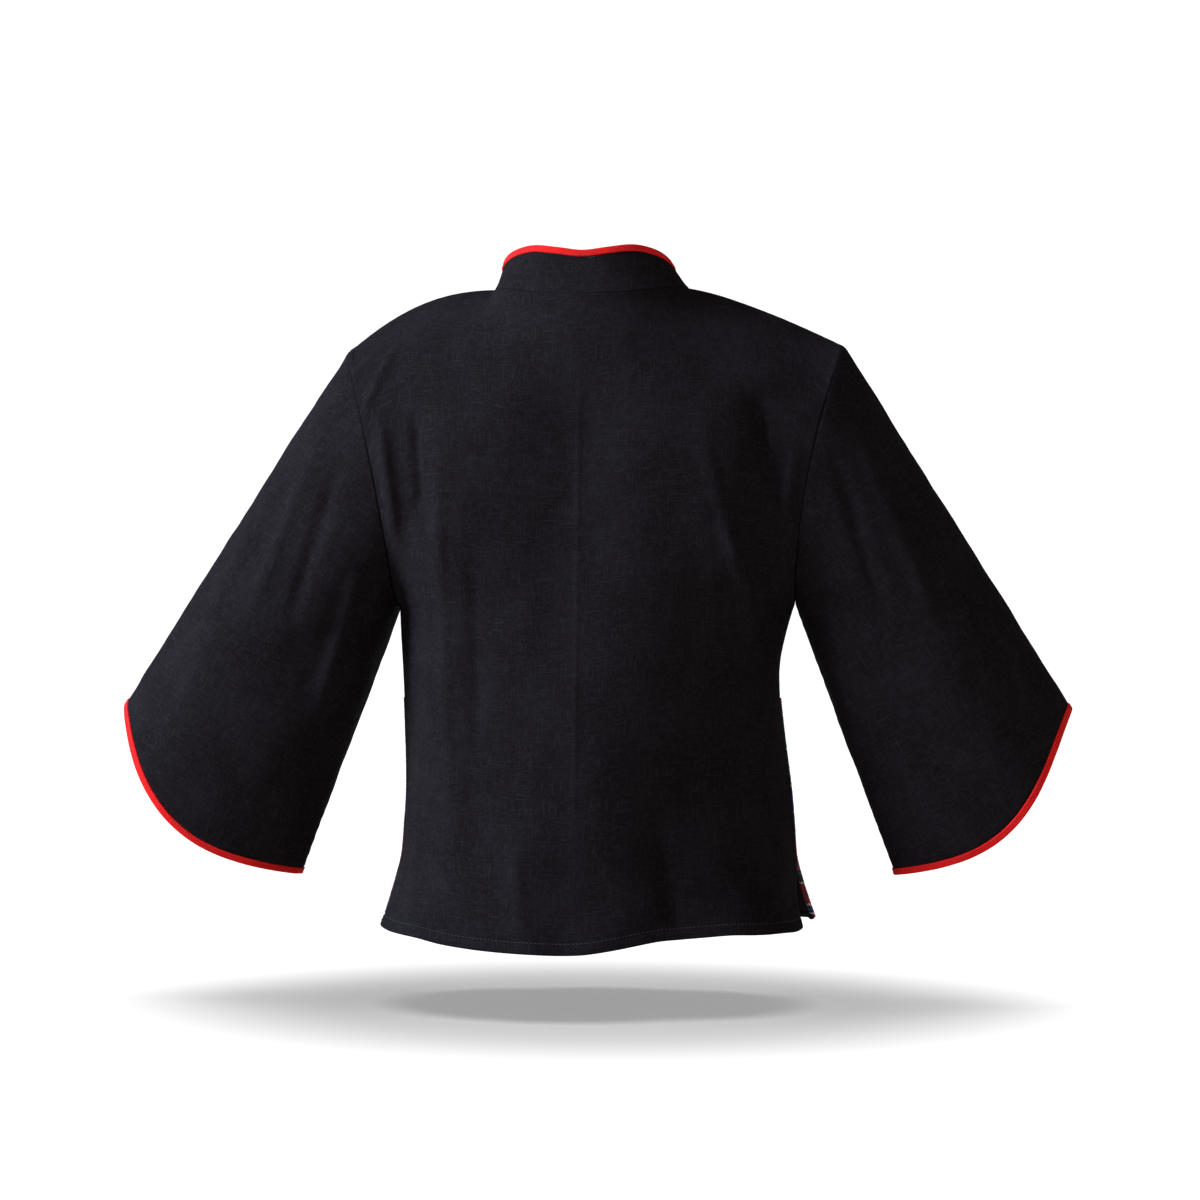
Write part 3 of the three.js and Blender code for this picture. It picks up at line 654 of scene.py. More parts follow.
def crease(cloth, normals, facing, start, end, half_width, rise):
    """How far a crease along a line, seen from the front or the back, lifts each point."""
    place = cloth[..., [0, 2]]
    a, b = np.array(start) * MM, np.array(end) * MM
    line = b - a
    share = ((place - a) @ line) / (line @ line)
    off = np.linalg.norm(place - (a + np.clip(share, 0, 1)[..., None] * line), axis=-1)
    ends = smooth(share, -0.05, 0.28) * (1 - smooth(share, 0.7, 1.05))
    side = smooth(normals[..., 1] * facing, 0.0, 0.25)
    return CREASE_STRENGTH * rise * MM * np.exp(-((off / (half_width * MM)) ** 2)) * ends * side


def waves(cloth, seed, count, shortest, longest, height):
    """Small waves of many lengths and directions over the cloth, the same on each run."""
    draw = random.Random(seed)
    total = np.zeros(cloth.shape[:2])
    for _ in range(count):
        length = draw.uniform(shortest, longest) * MM
        heading = Vector((draw.gauss(0, 1), draw.gauss(0, 1), draw.gauss(0, 0.8))).normalized()
        phase = cloth @ np.array(heading) * 2 * math.pi / length + draw.uniform(0, 2 * math.pi)
        total += np.sin(phase + 1.3 * np.sin(phase * 0.37 + draw.uniform(0, 6)))
    return total * height * MM / math.sqrt(count)


PUCKER_HEIGHT = 0.26 * MM
PUCKER_PITCH = 10.5 * MM
PUCKER_REACH = 7 * MM


def pucker(distance, along, seed):
    """Ripples that run in from a seam and die out."""
    draw = random.Random(seed)
    beat = 1 + 0.5 * np.sin(along / (37 * MM) + draw.uniform(0, 6))
    ripple = np.sin(along * 2 * math.pi / PUCKER_PITCH + 2 * np.sin(along / (23 * MM)))
    fade = np.exp(-distance / PUCKER_REACH) * smooth(distance, 0, 3 * MM)
    return PUCKER_HEIGHT * ripple * beat * fade


HEM = 10 * MM
HEM_PROUD = 0.4 * MM
HEM_GROOVE = 0.45 * MM
HEM_ROLL = 0.9 * MM
HEM_ROLL_REACH = 22 * MM
SEAM_CALM = 9 * MM  # how far from a seam the waves are at their full height
BROAD_WAVES = (26, 28, 95, 0.42)  # how many, their shortest and longest, and their height, in mm
FINE_WAVES = (30, 9, 24, 0.1)
VENT_EASE = 5 * MM  # how far the back draws in at the right vent, so that the front shows past it
VENT_SIDE = (0.150, 0.178)  # how far to the right that starts and is full
VENT_FALL = (0.500, 0.535)  # how far below the shoulders that starts and is full
BAND_STIFFENS = (0.325, 0.352)  # how far down the fronts the embroidery starts to hold them flat


def hem_fold(from_hem, along):
    """The double fold of the hem, its row of stitches and its slow waves."""
    proud = HEM_PROUD * (1 - smooth(from_hem, HEM - 1.5 * MM, HEM + 0.5 * MM))
    groove = -HEM_GROOVE * np.exp(-(((from_hem - HEM) / (1.6 * MM)) ** 2))
    roll = HEM_ROLL * np.sin(along / (13 * MM) + 1.5 * np.sin(along / (31 * MM)))
    return proud + groove + roll * np.exp(-from_hem / HEM_ROLL_REACH)


def dress(name, cloth):
    """Moves a piece's points out along their normals by all its creases, waves, puckers and folds."""
    normals = normals_of(cloth)
    away = edge_distances(cloth)
    seam_free = np.ones(cloth.shape[:2])
    for edge in ("top", "first", "last"):
        seam_free *= smooth(away[edge], 0, SEAM_CALM)
    if name in ("collar", "sleeve_left", "sleeve_right"):
        seam_free *= smooth(away["bottom"], 0, SEAM_CALM)
    lift = waves(cloth, name, *BROAD_WAVES) + waves(cloth, name + " fine", *FINE_WAVES)
    if name == "collar":
        lift *= 0.4
    for piece, facing, start, end, half_width, rise in CREASES:
        if piece == name:
            lift += crease(cloth, normals, facing, start, end, half_width, rise)
    if name.startswith("front"):
        lift *= 1 - 0.9 * smooth(-cloth[..., 2], *BAND_STIFFENS)
    lift *= seam_free
    lift += pucker(away["first"], away["top"], 1) + pucker(away["last"], away["top"], 2)
    if not name.startswith("sleeve"):
        lift += 0.6 * pucker(away["top"], away["first"], 3)
    if name == "back":
        lift += hem_fold(away["bottom"], away["first"])
    moved = cloth + normals * lift[..., None]
    if name == "back":
        right = smooth(-cloth[..., 0], *VENT_SIDE) * smooth(-cloth[..., 2], *VENT_FALL)
        moved[..., 0] += VENT_EASE * right
    return moved


dressed = {name: dress(name, cloth) for name, cloth in cloths.items()}
for name, cloth in dressed.items():
    moved = np.linalg.norm(cloth - cloths[name], axis=-1)
    print(name, "moved by up to", round(moved.max() / MM, 2), "mm")

# %% [markdown]
# ## From grids to cloth
# Every edge of a real piece is turned in, at the seams as a seam allowance and at the hem as a fold.
# Each grid therefore gets three more rows at every edge: one just inside it, so that the edge stays
# crisp, and two that roll under. Solidify then gives the cloth its thickness.

# %% Turned edges
CLOTH_THICKNESS = 0.9 * MM
TURN_DEPTH = 2.4 * MM
UNDER_DEPTH = 1.35 * MM
EDGE_ROLL = 0.55 * MM
CRISP_INSET = 0.9 * MM


def turn_under(cloth, flat, normals, reaches):
    """Adds the rolled rows at the grid's first and last row. reaches says how far each turned edge
    runs on under the cloth: back under its own sheet at a free edge, on under the next at a seam."""
    rows, flats_out, norms = [], [], []
    for end, inner, reach in ((0, 1, reaches[0]), (-1, -2, reaches[1])):
        reach = np.broadcast_to(np.asarray(reach, float), cloth.shape[1])[:, None]
        step = cloth[inner] - cloth[end]
        spacing = np.linalg.norm(step, axis=-1, keepdims=True)
        inward = step / np.maximum(spacing, 1e-9)
        crisp = cloth[end] + inward * np.minimum(CRISP_INSET, 0.4 * spacing)
        edge = cloth[end] + inward * 0.05 * MM - normals[end] * EDGE_ROLL
        under = cloth[end] + inward * 0.12 * reach - normals[end] * UNDER_DEPTH
        tail = cloth[end] + inward * reach - normals[end] * TURN_DEPTH
        rows.append([tail, under, edge, crisp])
        flat_step = flat[inner] - flat[end]
        flat_in = flat_step / np.maximum(np.linalg.norm(flat_step, axis=-1, keepdims=True), 1e-9)
        flats_out.append([flat[end] - flat_in * d * MM for d in (5.0, 1.3, 0.5, -0.9)])
        norms.append([normals[end]] * 4)

    def framed(middle, ends):
        first, last = ends
        return np.concatenate([np.stack(first), middle[1:-1], np.stack(last[::-1])])

    return framed(cloth, rows), framed(flat, flats_out), framed(normals, norms)


SEAM_REACH = -4 * MM
FREE_REACH = 6 * MM
UNDERLAP = -8 * MM
NECK_HALF_WIDTH = np.abs(cloths["collar"][-1, :, 0]).max()


def edge_reaches(name, cloth, fineness):
    """How far the turned edges run under: for the first and last row, then the first and last column."""
    sides = np.full(cloth.shape[0], SEAM_REACH)
    top = np.full(cloth.shape[1], SEAM_REACH)
    if name == "back" or name.startswith("front"):
        sides[VENT_ROW * fineness :] = FREE_REACH
        # the shoulder is a sharp ridge, so there the allowance goes straight down under the edge
        off_centre = np.abs(cloth[0, :, 0])
        top *= 1 - smooth(off_centre, NECK_HALF_WIDTH - 6 * MM, NECK_HALF_WIDTH + 2 * MM)
    middle = {"front_left": UNDERLAP, "front_right": FREE_REACH}.get(name)
    columns = [sides, sides]
    if middle is not None:
        columns[0 if name == "front_left" else 1] = np.full(cloth.shape[0], middle)
    return (top, FREE_REACH), columns


def with_turned_edges(name, cloth, flat):
    fineness = BACK_FINENESS if name == "back" else CLOTH_FINENESS
    rows, columns = edge_reaches(name, cloth, fineness)
    columns = [np.concatenate([[c[0]] * 3, c, [c[-1]] * 3]) for c in columns]
    wide = turn_under(cloth, flat, normals_of(cloth), rows)
    across = turn_under(*[grid.transpose(1, 0, 2) for grid in wide], columns)
    return across[0].transpose(1, 0, 2), across[1].transpose(1, 0, 2)


def mesh_piece(name, points, faces, flat, materials):
    """A smooth mesh in the scene, with each point's place on the flat cut as the UV map "cut"."""
    mesh = bpy.data.meshes.new(name)
    mesh.from_pydata(points.reshape(-1, 3).tolist(), [], faces.tolist())
    cut = mesh.uv_layers.new(name="cut")
    cut.data.foreach_set("uv", flat.reshape(-1, 2)[faces.reshape(-1)].astype(np.float32).ravel())
    mesh.polygons.foreach_set("use_smooth", [True] * len(faces))
    for material in materials:
        mesh.materials.append(material)
    mesh.update()
    return in_scene(bpy.data.objects.new(name, mesh))


def grid_mesh(name, cloth, flat, material, thickness):
    """A sheet of quads, thickened inwards."""
    rows, columns = cloth.shape[:2]
    corner = np.arange((rows - 1) * columns).reshape(rows - 1, columns)[:, :-1]
    faces = np.stack([corner, corner + columns, corner + columns + 1, corner + 1], axis=-1).reshape(-1, 4)
    piece = mesh_piece(name, cloth, faces, flat, [material])
    if thickness:
        solid = piece.modifiers.new("cloth thickness", "SOLIDIFY")
        solid.thickness = thickness
        solid.offset = -1
    return piece

# %% [markdown]
# ## Black slubby linen
# The cloth is a plain weave of hand-spun flax. Its yarns are uneven: here and there one swells into a
# slub, which runs a centimetre or two along the yarn and catches the light. The weave group below
# works from the flat cut in metres, so the same yarns run true on the back, the fronts and sleeves.

# %% Helpers for shader groups
def maths(tree, operation, first, second=0.0, third=0.0):
    made = add_node(tree, "ShaderNodeMath", {"operation": operation}, _0=first, _1=second, _2=third)
    return made.outputs[0]


def new_group(name, inputs, outputs):
    """A shader node group with named sockets. Returns its tree, its inputs and its output node."""
    tree = bpy.data.node_groups.new(name, "ShaderNodeTree")
    for label, kind, value in inputs:
        socket = tree.interface.new_socket(label, in_out="INPUT", socket_type=kind)
        if value is not None:
            socket.default_value = value
    for label, kind in outputs:
        tree.interface.new_socket(label, in_out="OUTPUT", socket_type=kind)
    return tree, tree.nodes.new("NodeGroupInput").outputs, tree.nodes.new("NodeGroupOutput").inputs


def place_group(tree, group, **values):
    made = tree.nodes.new("ShaderNodeGroup")
    made.node_tree = group
    return fill(tree, made, values).outputs


# %% The plain weave group
def stretched_noise(tree, cut, across, along, detail):
    """Noise in long streaks: "across" and "along" are its scales per metre in the two directions."""
    scaled = add_node(tree, "ShaderNodeVectorMath", {"operation": "MULTIPLY"}, _0=cut, _1=(across, along, 1))
    noise = add_node(
        tree, "ShaderNodeTexNoise", {"noise_dimensions": "2D"}, Vector=scaled.outputs[0], Scale=1.0,
        Detail=detail,
    )
    return noise.outputs["Fac"]


YARN_WANDER = 0.0022
STREAKS = ((980, 52), (48, 930), (1250, 210), (190, 1250))  # long and short slubs, warp and weft
SLUB_SHOWS = (0.60, 0.76)  # the noise between which a yarn swells into a slub


def build_weave():
    tree, given, result = new_group(
        "plain_weave",
        [
            ("Cut", "NodeSocketVector", None), ("Yarns", "NodeSocketFloat", 1300.0),
            ("Slubs", "NodeSocketFloat", 1.0),
        ],
        [("Slub", "NodeSocketFloat"), ("Height", "NodeSocketFloat"), ("Tone", "NodeSocketFloat")],
    )
    cut, yarns, slubs = given["Cut"], given["Yarns"], given["Slubs"]
    flat_noise = {"noise_dimensions": "2D"}
    wobble = add_node(tree, "ShaderNodeTexNoise", flat_noise, Vector=cut, Scale=90.0, Detail=1.0)
    shift = add_node(
        tree, "ShaderNodeVectorMath", {"operation": "SCALE"}, _0=wobble.outputs["Color"], Scale=YARN_WANDER
    )
    bent = add_node(tree, "ShaderNodeVectorMath", {"operation": "ADD"}, _0=cut, _1=shift.outputs[0])
    bent = bent.outputs[0]
    split = add_node(tree, "ShaderNodeSeparateXYZ", Vector=bent).outputs
    warp = maths(tree, "MULTIPLY", split["X"], yarns)
    weft = maths(tree, "MULTIPLY", split["Y"], yarns)
    parity = maths(tree, "ADD", maths(tree, "FLOOR", warp), maths(tree, "FLOOR", weft))
    over = maths(tree, "ABSOLUTE", maths(tree, "MODULO", parity, 2.0))
    warp_round = maths(tree, "ABSOLUTE", maths(tree, "SINE", maths(tree, "MULTIPLY", warp, math.pi)))
    weft_round = maths(tree, "ABSOLUTE", maths(tree, "SINE", maths(tree, "MULTIPLY", weft, math.pi)))
    on_top = add_node(
        tree, "ShaderNodeMix", {"data_type": "FLOAT"}, Factor=over, _2=weft_round, _3=warp_round
    ).outputs[0]
    streaks = []
    for across, along in STREAKS:
        grain = stretched_noise(tree, bent, across, along, 1.0)
        low, high = SLUB_SHOWS
        streak = add_node(
            tree, "ShaderNodeMapRange", {"interpolation_type": "SMOOTHSTEP"}, Value=grain, _1=low, _2=high
        )
        streaks.append(streak.outputs[0])
    thick = maths(tree, "MULTIPLY", maths(tree, "MAXIMUM", streaks[0], streaks[1]), 0.8)
    fine = maths(tree, "MULTIPLY", maths(tree, "MAXIMUM", streaks[2], streaks[3]), 0.9)
    slub = maths(tree, "MULTIPLY", maths(tree, "MAXIMUM", thick, fine), slubs)
    cloudy = stretched_noise(tree, cut, 26, 17, 3.0)
    wire(tree, slub, result["Slub"])
    wire(tree, maths(tree, "MULTIPLY_ADD", slub, 0.9, on_top), result["Height"])
    wire(tree, cloudy, result["Tone"])
    return tree


plain_weave = build_weave()


# %% Cloth materials
def ramp(tree, factor, stops):
    """A colour ramp through (position, linear colour) stops."""
    made = add_node(tree, "ShaderNodeValToRGB", Fac=factor)
    elements = made.color_ramp.elements
    while len(elements) < len(stops):
        elements.new(0.5)
    for element, (position, colour) in zip(elements, stops):
        element.position = position
        element.color = (*colour, 1)
    return made.outputs["Color"]


def mixed(tree, factor, first, second):
    made = add_node(tree, "ShaderNodeMix", {"data_type": "RGBA"}, Factor=factor)
    for socket, value in ((made.inputs[6], first), (made.inputs[7], second)):
        if isinstance(value, bpy.types.NodeSocket):
            wire(tree, value, socket)
        else:
            socket.default_value = (*value, 1)
    return made.outputs[2]


def on_cut(tree):
    """The place on the flat cut, in metres."""
    return add_node(tree, "ShaderNodeUVMap", {"uv_map": "cut"}).outputs["UV"]


def give_relief(tree, shader, height, strength, depth):
    relief = add_node(tree, "ShaderNodeBump", Height=height, Strength=strength, Distance=depth)
    wire(tree, relief.outputs["Normal"], shader.inputs["Normal"])


def weave_material(name, dark, light, slub_colour, roughness, yarns, slubs, depth, gloss, sheen):
    """A woven cloth: cloudy base colour, lighter slubs and the relief of its yarns."""
    material, tree, shader = principled(name, dark, roughness)
    weave = place_group(tree, plain_weave, Cut=on_cut(tree), Yarns=yarns, Slubs=slubs)
    ground = ramp(tree, weave["Tone"], [(0.36, dark), (0.66, light)])
    wire(tree, mixed(tree, weave["Slub"], ground, slub_colour), shader.inputs["Base Color"])
    rough = add_node(tree, "ShaderNodeMapRange", Value=weave["Slub"], _3=roughness, _4=roughness - 0.18)
    wire(tree, rough.outputs[0], shader.inputs["Roughness"])
    give_relief(tree, shader, weave["Height"], 0.75, depth)
    shader.inputs["Specular IOR Level"].default_value = gloss
    shader.inputs["Sheen Weight"].default_value = sheen
    shader.inputs["Sheen Roughness"].default_value = 0.45
    shader.inputs["Sheen Tint"].default_value = (0.75, 0.78, 0.9, 1)
    return material


black_linen = weave_material(
    "black_linen", (0.0062, 0.0044, 0.0051), (0.0078, 0.0060, 0.0070), (0.019, 0.0175, 0.020), 0.85,
    1300.0, 0.5, 0.22 * MM, 0.015, 0.0,
)
red_bias = weave_material(
    "red_bias_cotton", (0.45, 0.005, 0.004), (0.57, 0.007, 0.006), (0.63, 0.016, 0.013), 0.8,
    2600.0, 0.25, 0.08 * MM, 0.08, 0.0,
)
pieces = {}
for name, cloth in dressed.items():
    turned, turned_flat = with_turned_edges(name, cloth, flats[name])
    pieces[name] = grid_mesh(name + "_linen", turned, turned_flat, black_linen, CLOTH_THICKNESS)
    print(pieces[name].name, len(pieces[name].data.polygons), "quads")

# %% [markdown]
# ## Red bindings
# A strip of red cotton cut on the bias is folded round the raw edge of the collar and of each cuff,
# and stitched down close to its inner fold. Its cut edges run at 45 degrees to its threads, so it
# bends round the petals without a pleat. The strip is swept along the edge of the cloth as one
# rounded fold, a little thicker than the cloth that it holds.

# %% Folded tape
BINDING_WIDTH = 6 * MM
TAPE_PROFILE = [
    # how far down from the binding's upper fold (1 is its outer edge), how far out of the cloth (mm)
    (-0.02, 0.25), (0.02, 0.75), (0.1, 0.95), (0.22, 0.8), (0.34, 0.95), (0.6, 1.0), (0.82, 0.95),
    (0.95, 0.7), (1.02, 0.1), (1.02, -0.7), (0.95, -1.4), (0.8, -1.75), (0.5, -1.8), (0.2, -1.75),
    (0.04, -1.6), (-0.02, -1.1),
]


tape_edges = {}


def tape_mesh(name, edge, outward, normals, closed):
    """A folded tape along an edge. outward points from the cloth across its edge."""
    stretch = np.linalg.norm(np.diff(edge, axis=0, append=edge[:1] if closed else edge[-1:]), axis=-1)
    along = np.concatenate([[0], np.cumsum(stretch)])[: len(edge)]
    ripple = 0.07 * np.sin(along * 2 * math.pi / (5.5 * MM)) + 0.05 * np.sin(along / (8.7 * MM))
    rings, cuts = [], []
    across = 0.0
    last = None
    for down, out in TAPE_PROFILE:
        rise = out * MM + ripple[:, None] * MM * (1 if out > 0 else 0) * 0.8
        ring = edge + outward * (down * BINDING_WIDTH) + normals * rise
        if last is not None:
            across += float(np.linalg.norm(ring - last, axis=-1).mean())
        last = ring
        rings.append(ring)
        cuts.append(np.stack([(along + across) * math.sqrt(0.5), (along - across) * math.sqrt(0.5)], axis=-1))
    grid, flat = np.stack(rings, axis=1), np.stack(cuts, axis=1)
    if closed:
        lap = np.full((1, flat.shape[1], 2), stretch.sum() * math.sqrt(0.5))
        grid = np.concatenate([grid, grid[:1]])
        flat = np.concatenate([flat, flat[:1] + lap])
    piece = grid_mesh(name, grid, flat, red_bias, 0)
    close_tape(piece, len(TAPE_PROFILE), closed)
    tape_edges[name] = (edge, outward, normals, closed)
    return piece


def close_tape(piece, around, closed):
    """Joins the profile's last side to its first, and caps the ends of an open tape."""
    shape = bmesh.new()
    shape.from_mesh(piece.data)
    shape.verts.ensure_lookup_table()
    count = len(shape.verts) // around
    cut = shape.loops.layers.uv.verify()
    made = []
    for i in range(count - 1):
        a, b = i * around, (i + 1) * around
        made.append(shape.faces.new([shape.verts[k] for k in (a + around - 1, b + around - 1, b, a)]))
    if not closed:
        last = (count - 1) * around
        made.append(shape.faces.new([shape.verts[k] for k in range(around)]))
        made.append(shape.faces.new([shape.verts[last + k] for k in reversed(range(around))]))
    for face in made:
        face.smooth = len(face.verts) == 4
        for loop in face.loops:
            source = next(l for l in loop.vert.link_loops if l.face not in made)
            loop[cut].uv = source[cut].uv
    if closed:
        bmesh.ops.remove_doubles(shape, verts=shape.verts, dist=WELD)
    bmesh.ops.recalc_face_normals(shape, faces=shape.faces)
    shape.to_mesh(piece.data)
    shape.free()


def edge_frame(edge, inner):
    """At a sheet's edge: its outward direction, square to the edge, and the cloth's normal."""
    tangent = unit(np.gradient(edge, axis=0))
    away = edge - inner
    normal = unit(np.cross(tangent, away))
    outward = unit(np.cross(normal, tangent))
    outward *= np.sign((outward * away).sum(axis=-1, keepdims=True))
    return outward, normal


def cuff_tape(side):
    cloth = dressed[f"sleeve_{side}"]
    edge = cloth[-1, :-1]
    rim, inner = (np.concatenate([row[-4:-1], row[:-1], row[:3]]) for row in (cloth[-1], cloth[-2]))
    outward, normal = edge_frame(rim, inner)
    outward, normal = outward[3:-3], normal[3:-3]
    facing = normals_of(cloth)[-1, :-1]
    normal *= np.sign((normal * facing).sum(axis=-1, keepdims=True))
    return tape_mesh(f"cuff_binding_{side}_tape", edge, outward, normal, closed=True)


def collar_tape():
    """Up one front edge of the collar, round its top and down the other front edge."""
    cloth = dressed["collar"]
    normals = normals_of(cloth)
    edge = np.concatenate([cloth[:, 0], cloth[-1, 1:-1], cloth[::-1, -1]])
    corner = cloth[-2, 1:2], cloth[-2, 1:-1], cloth[-2, -2:-1]
    inner = np.concatenate([cloth[:-1, 1], *corner, cloth[-2::-1, -2]])
    facing = np.concatenate([normals[:, 0], normals[-1, 1:-1], normals[::-1, -1]])
    outward, normal = edge_frame(edge, inner)
    normal *= np.sign((normal * facing).sum(axis=-1, keepdims=True))
    return tape_mesh("collar_binding_tape", edge, outward, normal, closed=False)


tapes = {side: cuff_tape(side) for side in SIDES}
tapes["collar"] = collar_tape()
for tape in tapes.values():
    print(tape.name, len(tape.data.vertices), "points")

# %% [markdown]
# ## Cross-stitched bands
# Bands of counted cross stitch cover the lower part of each front. Each stitch is two short strands
# of cotton laid over one another on a dark ground cloth, and the pattern grows out of counting: the
# bands here are plain rules about rows and columns, drawn from the common stock of diamonds,
# zigzags, crosses and eight-pointed stars. Every stitch is real geometry, all in one mesh a side.

# %% The chart
STITCH = 2.3 * MM
THREADS = {
    "red": (0.52, 0.012, 0.022),
    "black": (0.010, 0.009, 0.012),
    "white": (0.78, 0.75, 0.68),
    "green": (0.02, 0.22, 0.09),
    "teal": (0.01, 0.27, 0.26),
    "blue": (0.02, 0.07, 0.42),
    "pink": (0.62, 0.05, 0.20),
    "yellow": (0.72, 0.42, 0.03),
}
THREAD_NAMES = list(THREADS)


def plain_band(colour):
    return lambda column, row, rows: colour


def zigzag_band(ground, line, period):
    def colour(column, row, rows):
        swing = abs(column % period - period // 2)
        return line if abs(swing - row * (period // 2) / max(rows - 1, 1)) < 0.8 else ground

    return colour


def diamond_band(ground, rings, period):
    """Diamonds side by side. rings are their colours from the middle outwards."""

    def colour(column, row, rows):
        off = abs(column % period - period // 2) + abs(row - (rows - 1) / 2)
        ring = int(off)
        return rings[ring] if ring < len(rings) and rings[ring] else ground

    return colour


def star_band(ground, star, heart, corner, period):
    """Eight-pointed stars with small crosses between them."""

    def colour(column, row, rows):
        x = abs(column % period - period // 2)
        y = abs(row - (rows - 1) / 2)
        near, far = min(x, y), max(x, y)
        if far <= 1:
            return heart
        if far <= 6 and (near <= far / 2 + 0.5 or near == far) and far - near < 5:
            return star
        if period // 2 - x + abs(y - 6) <= 1.5:
            return corner
        return ground

    return colour


def dash_band(ground, first, second, step):
    def colour(column, row, rows):
        place = column % (2 * step)
        if row == rows // 2 and place % step != step - 1:
            return first if place < step else second
        return ground

    return colour


BANDS = [
    # rows of stitches from the hem up, and the rule that colours them
    (3, plain_band("red")),
    (1, plain_band("white")),
    (3, dash_band("black", "blue", "green", 3)),
    (1, plain_band("white")),
    (9, diamond_band("red", ["yellow", "black", "black", None, "black"], 10)),
    (1, plain_band("white")),
    (5, zigzag_band("black", "green", 8)),
    (1, plain_band("pink")),
    (15, star_band("red", "black", "white", "teal", 18)),
    (1, plain_band("pink")),
    (5, zigzag_band("black", "blue", 8)),
    (1, plain_band("white")),
    (9, diamond_band("blue", ["white", "pink", None, "pink", None], 10)),
    (1, plain_band("white")),
    (3, dash_band("black", "yellow", "pink", 3)),
    (1, plain_band("red")),
    (9, diamond_band("green", ["red", "red", None, "yellow"], 8)),
    (1, plain_band("white")),
    (11, diamond_band("teal", ["pink", "black", None, None, "black"], 12)),
    (1, plain_band("red")),
    (3, dash_band("teal", "red", "white", 4)),
    (2, plain_band("black")),
]


def chart(columns, rows):
    """The colour number of every stitch, from the hem up."""
    colours = np.zeros((rows, columns), int)
    row = 0
    while row < rows:
        for height, rule in BANDS:
            for k in range(height):
                if row < rows:
                    colours[row] = [THREAD_NAMES.index(rule(c, k, height)) for c in range(columns)]
                    row += 1
    return colours


def evenly(cloth, rows, columns):
    """The same sheet with its points spread evenly by length, in that many rows and columns."""

    def spread(lines, count):
        out = []
        for line in lines:
            along = np.concatenate([[0], np.cumsum(steps_along(line, 0))])
            out.append(read_off(np.linspace(0, along[-1], count + 1), along, line))
        return np.array(out)

    across = spread(cloth, columns)
    return spread(across.transpose(1, 0, 2), rows).transpose(1, 0, 2)


def wrapped(cloth, name):
    """The band with its vent edge and its hem carried round the edge of the front and under it."""
    normals = normals_of(cloth)
    side = -1 if name == "left" else 0
    inner = -2 if name == "left" else 1
    away = unit(cloth[:, side] - cloth[:, inner])
    turn = [
        cloth[:, side] + away * out * MM - normals[:, side] * down * MM
        for out, down in ((0.7, 0.2), (1.3, 1.0), (1.4, 2.2), (0.9, 3.4), (-0.5, 3.9))
    ]
    turn = np.stack(turn, axis=1)
    cloth = np.concatenate([cloth, turn], axis=1) if side else np.concatenate([turn[:, ::-1], cloth], axis=1)
    normals = normals_of(cloth)
    away = unit(cloth[-1] - cloth[-2])
    hem = [
        cloth[-1] + away * out * MM - normals[-1] * down * MM
        for out, down in ((0.6, 0.3), (0.9, 1.2), (0.7, 2.6))
    ]
    return np.concatenate([cloth, np.stack(hem)])


EMBROIDERY_FINENESS = 6
SKIN_SINK = 0.55 * MM  # how far the ground cloth lies below the model's skin, to leave room for thread
skins = {}
for name, side in SIDES.items():
    grid = panel_grid(f"front_embroidery_{name}", side)
    fine = finer_grid(grid, EMBROIDERY_FINENESS, EMBROIDERY_FINENESS)
    skins[name] = wrapped(fine - normals_of(fine) * SKIN_SINK, name)
    size = [steps_along(fine, axis).sum(axis=axis).mean() for axis in (1, 0)]
    print(f"{name} band {size[0]:.3f} m wide, {size[1]:.3f} m high")

# %% The stitches
STRAND_WIDTH = 1.15 * MM
STRAND_RISE = (0.42 * MM, 0.72 * MM)  # of the strand beneath and of the one over it
HAND_SHAKE = 0.08 * MM
INSIDE = np.array([0, 0.2, -0.45])  # behind the fronts, so that normals can be turned away from it


def strands(starts, ends, normals, rise):
    """Short rounded strands, each three points wide and three long. Returns points and flat places."""
    line = ends - starts
    length = np.linalg.norm(line, axis=-1, keepdims=True)
    side = unit(np.cross(normals, line)) * STRAND_WIDTH / 2
    points, flat = [], []
    for share, lifted in ((0.03, 0.10), (0.5, 1.0), (0.97, 0.10)):
        middle = starts + line * share
        for across, height in ((-1, 0.0), (0, 1.0), (1, 0.0)):
            wide = 1 if share == 0.5 else 0.72
            points.append(middle + side * across * wide + normals * rise * (0.12 + 0.88 * height) * lifted)
            sideways = np.full_like(length, across * STRAND_WIDTH / 2)
            flat.append(np.concatenate([length * share, sideways], axis=-1))
    return np.stack(points, axis=-2), np.stack(flat, axis=-2)


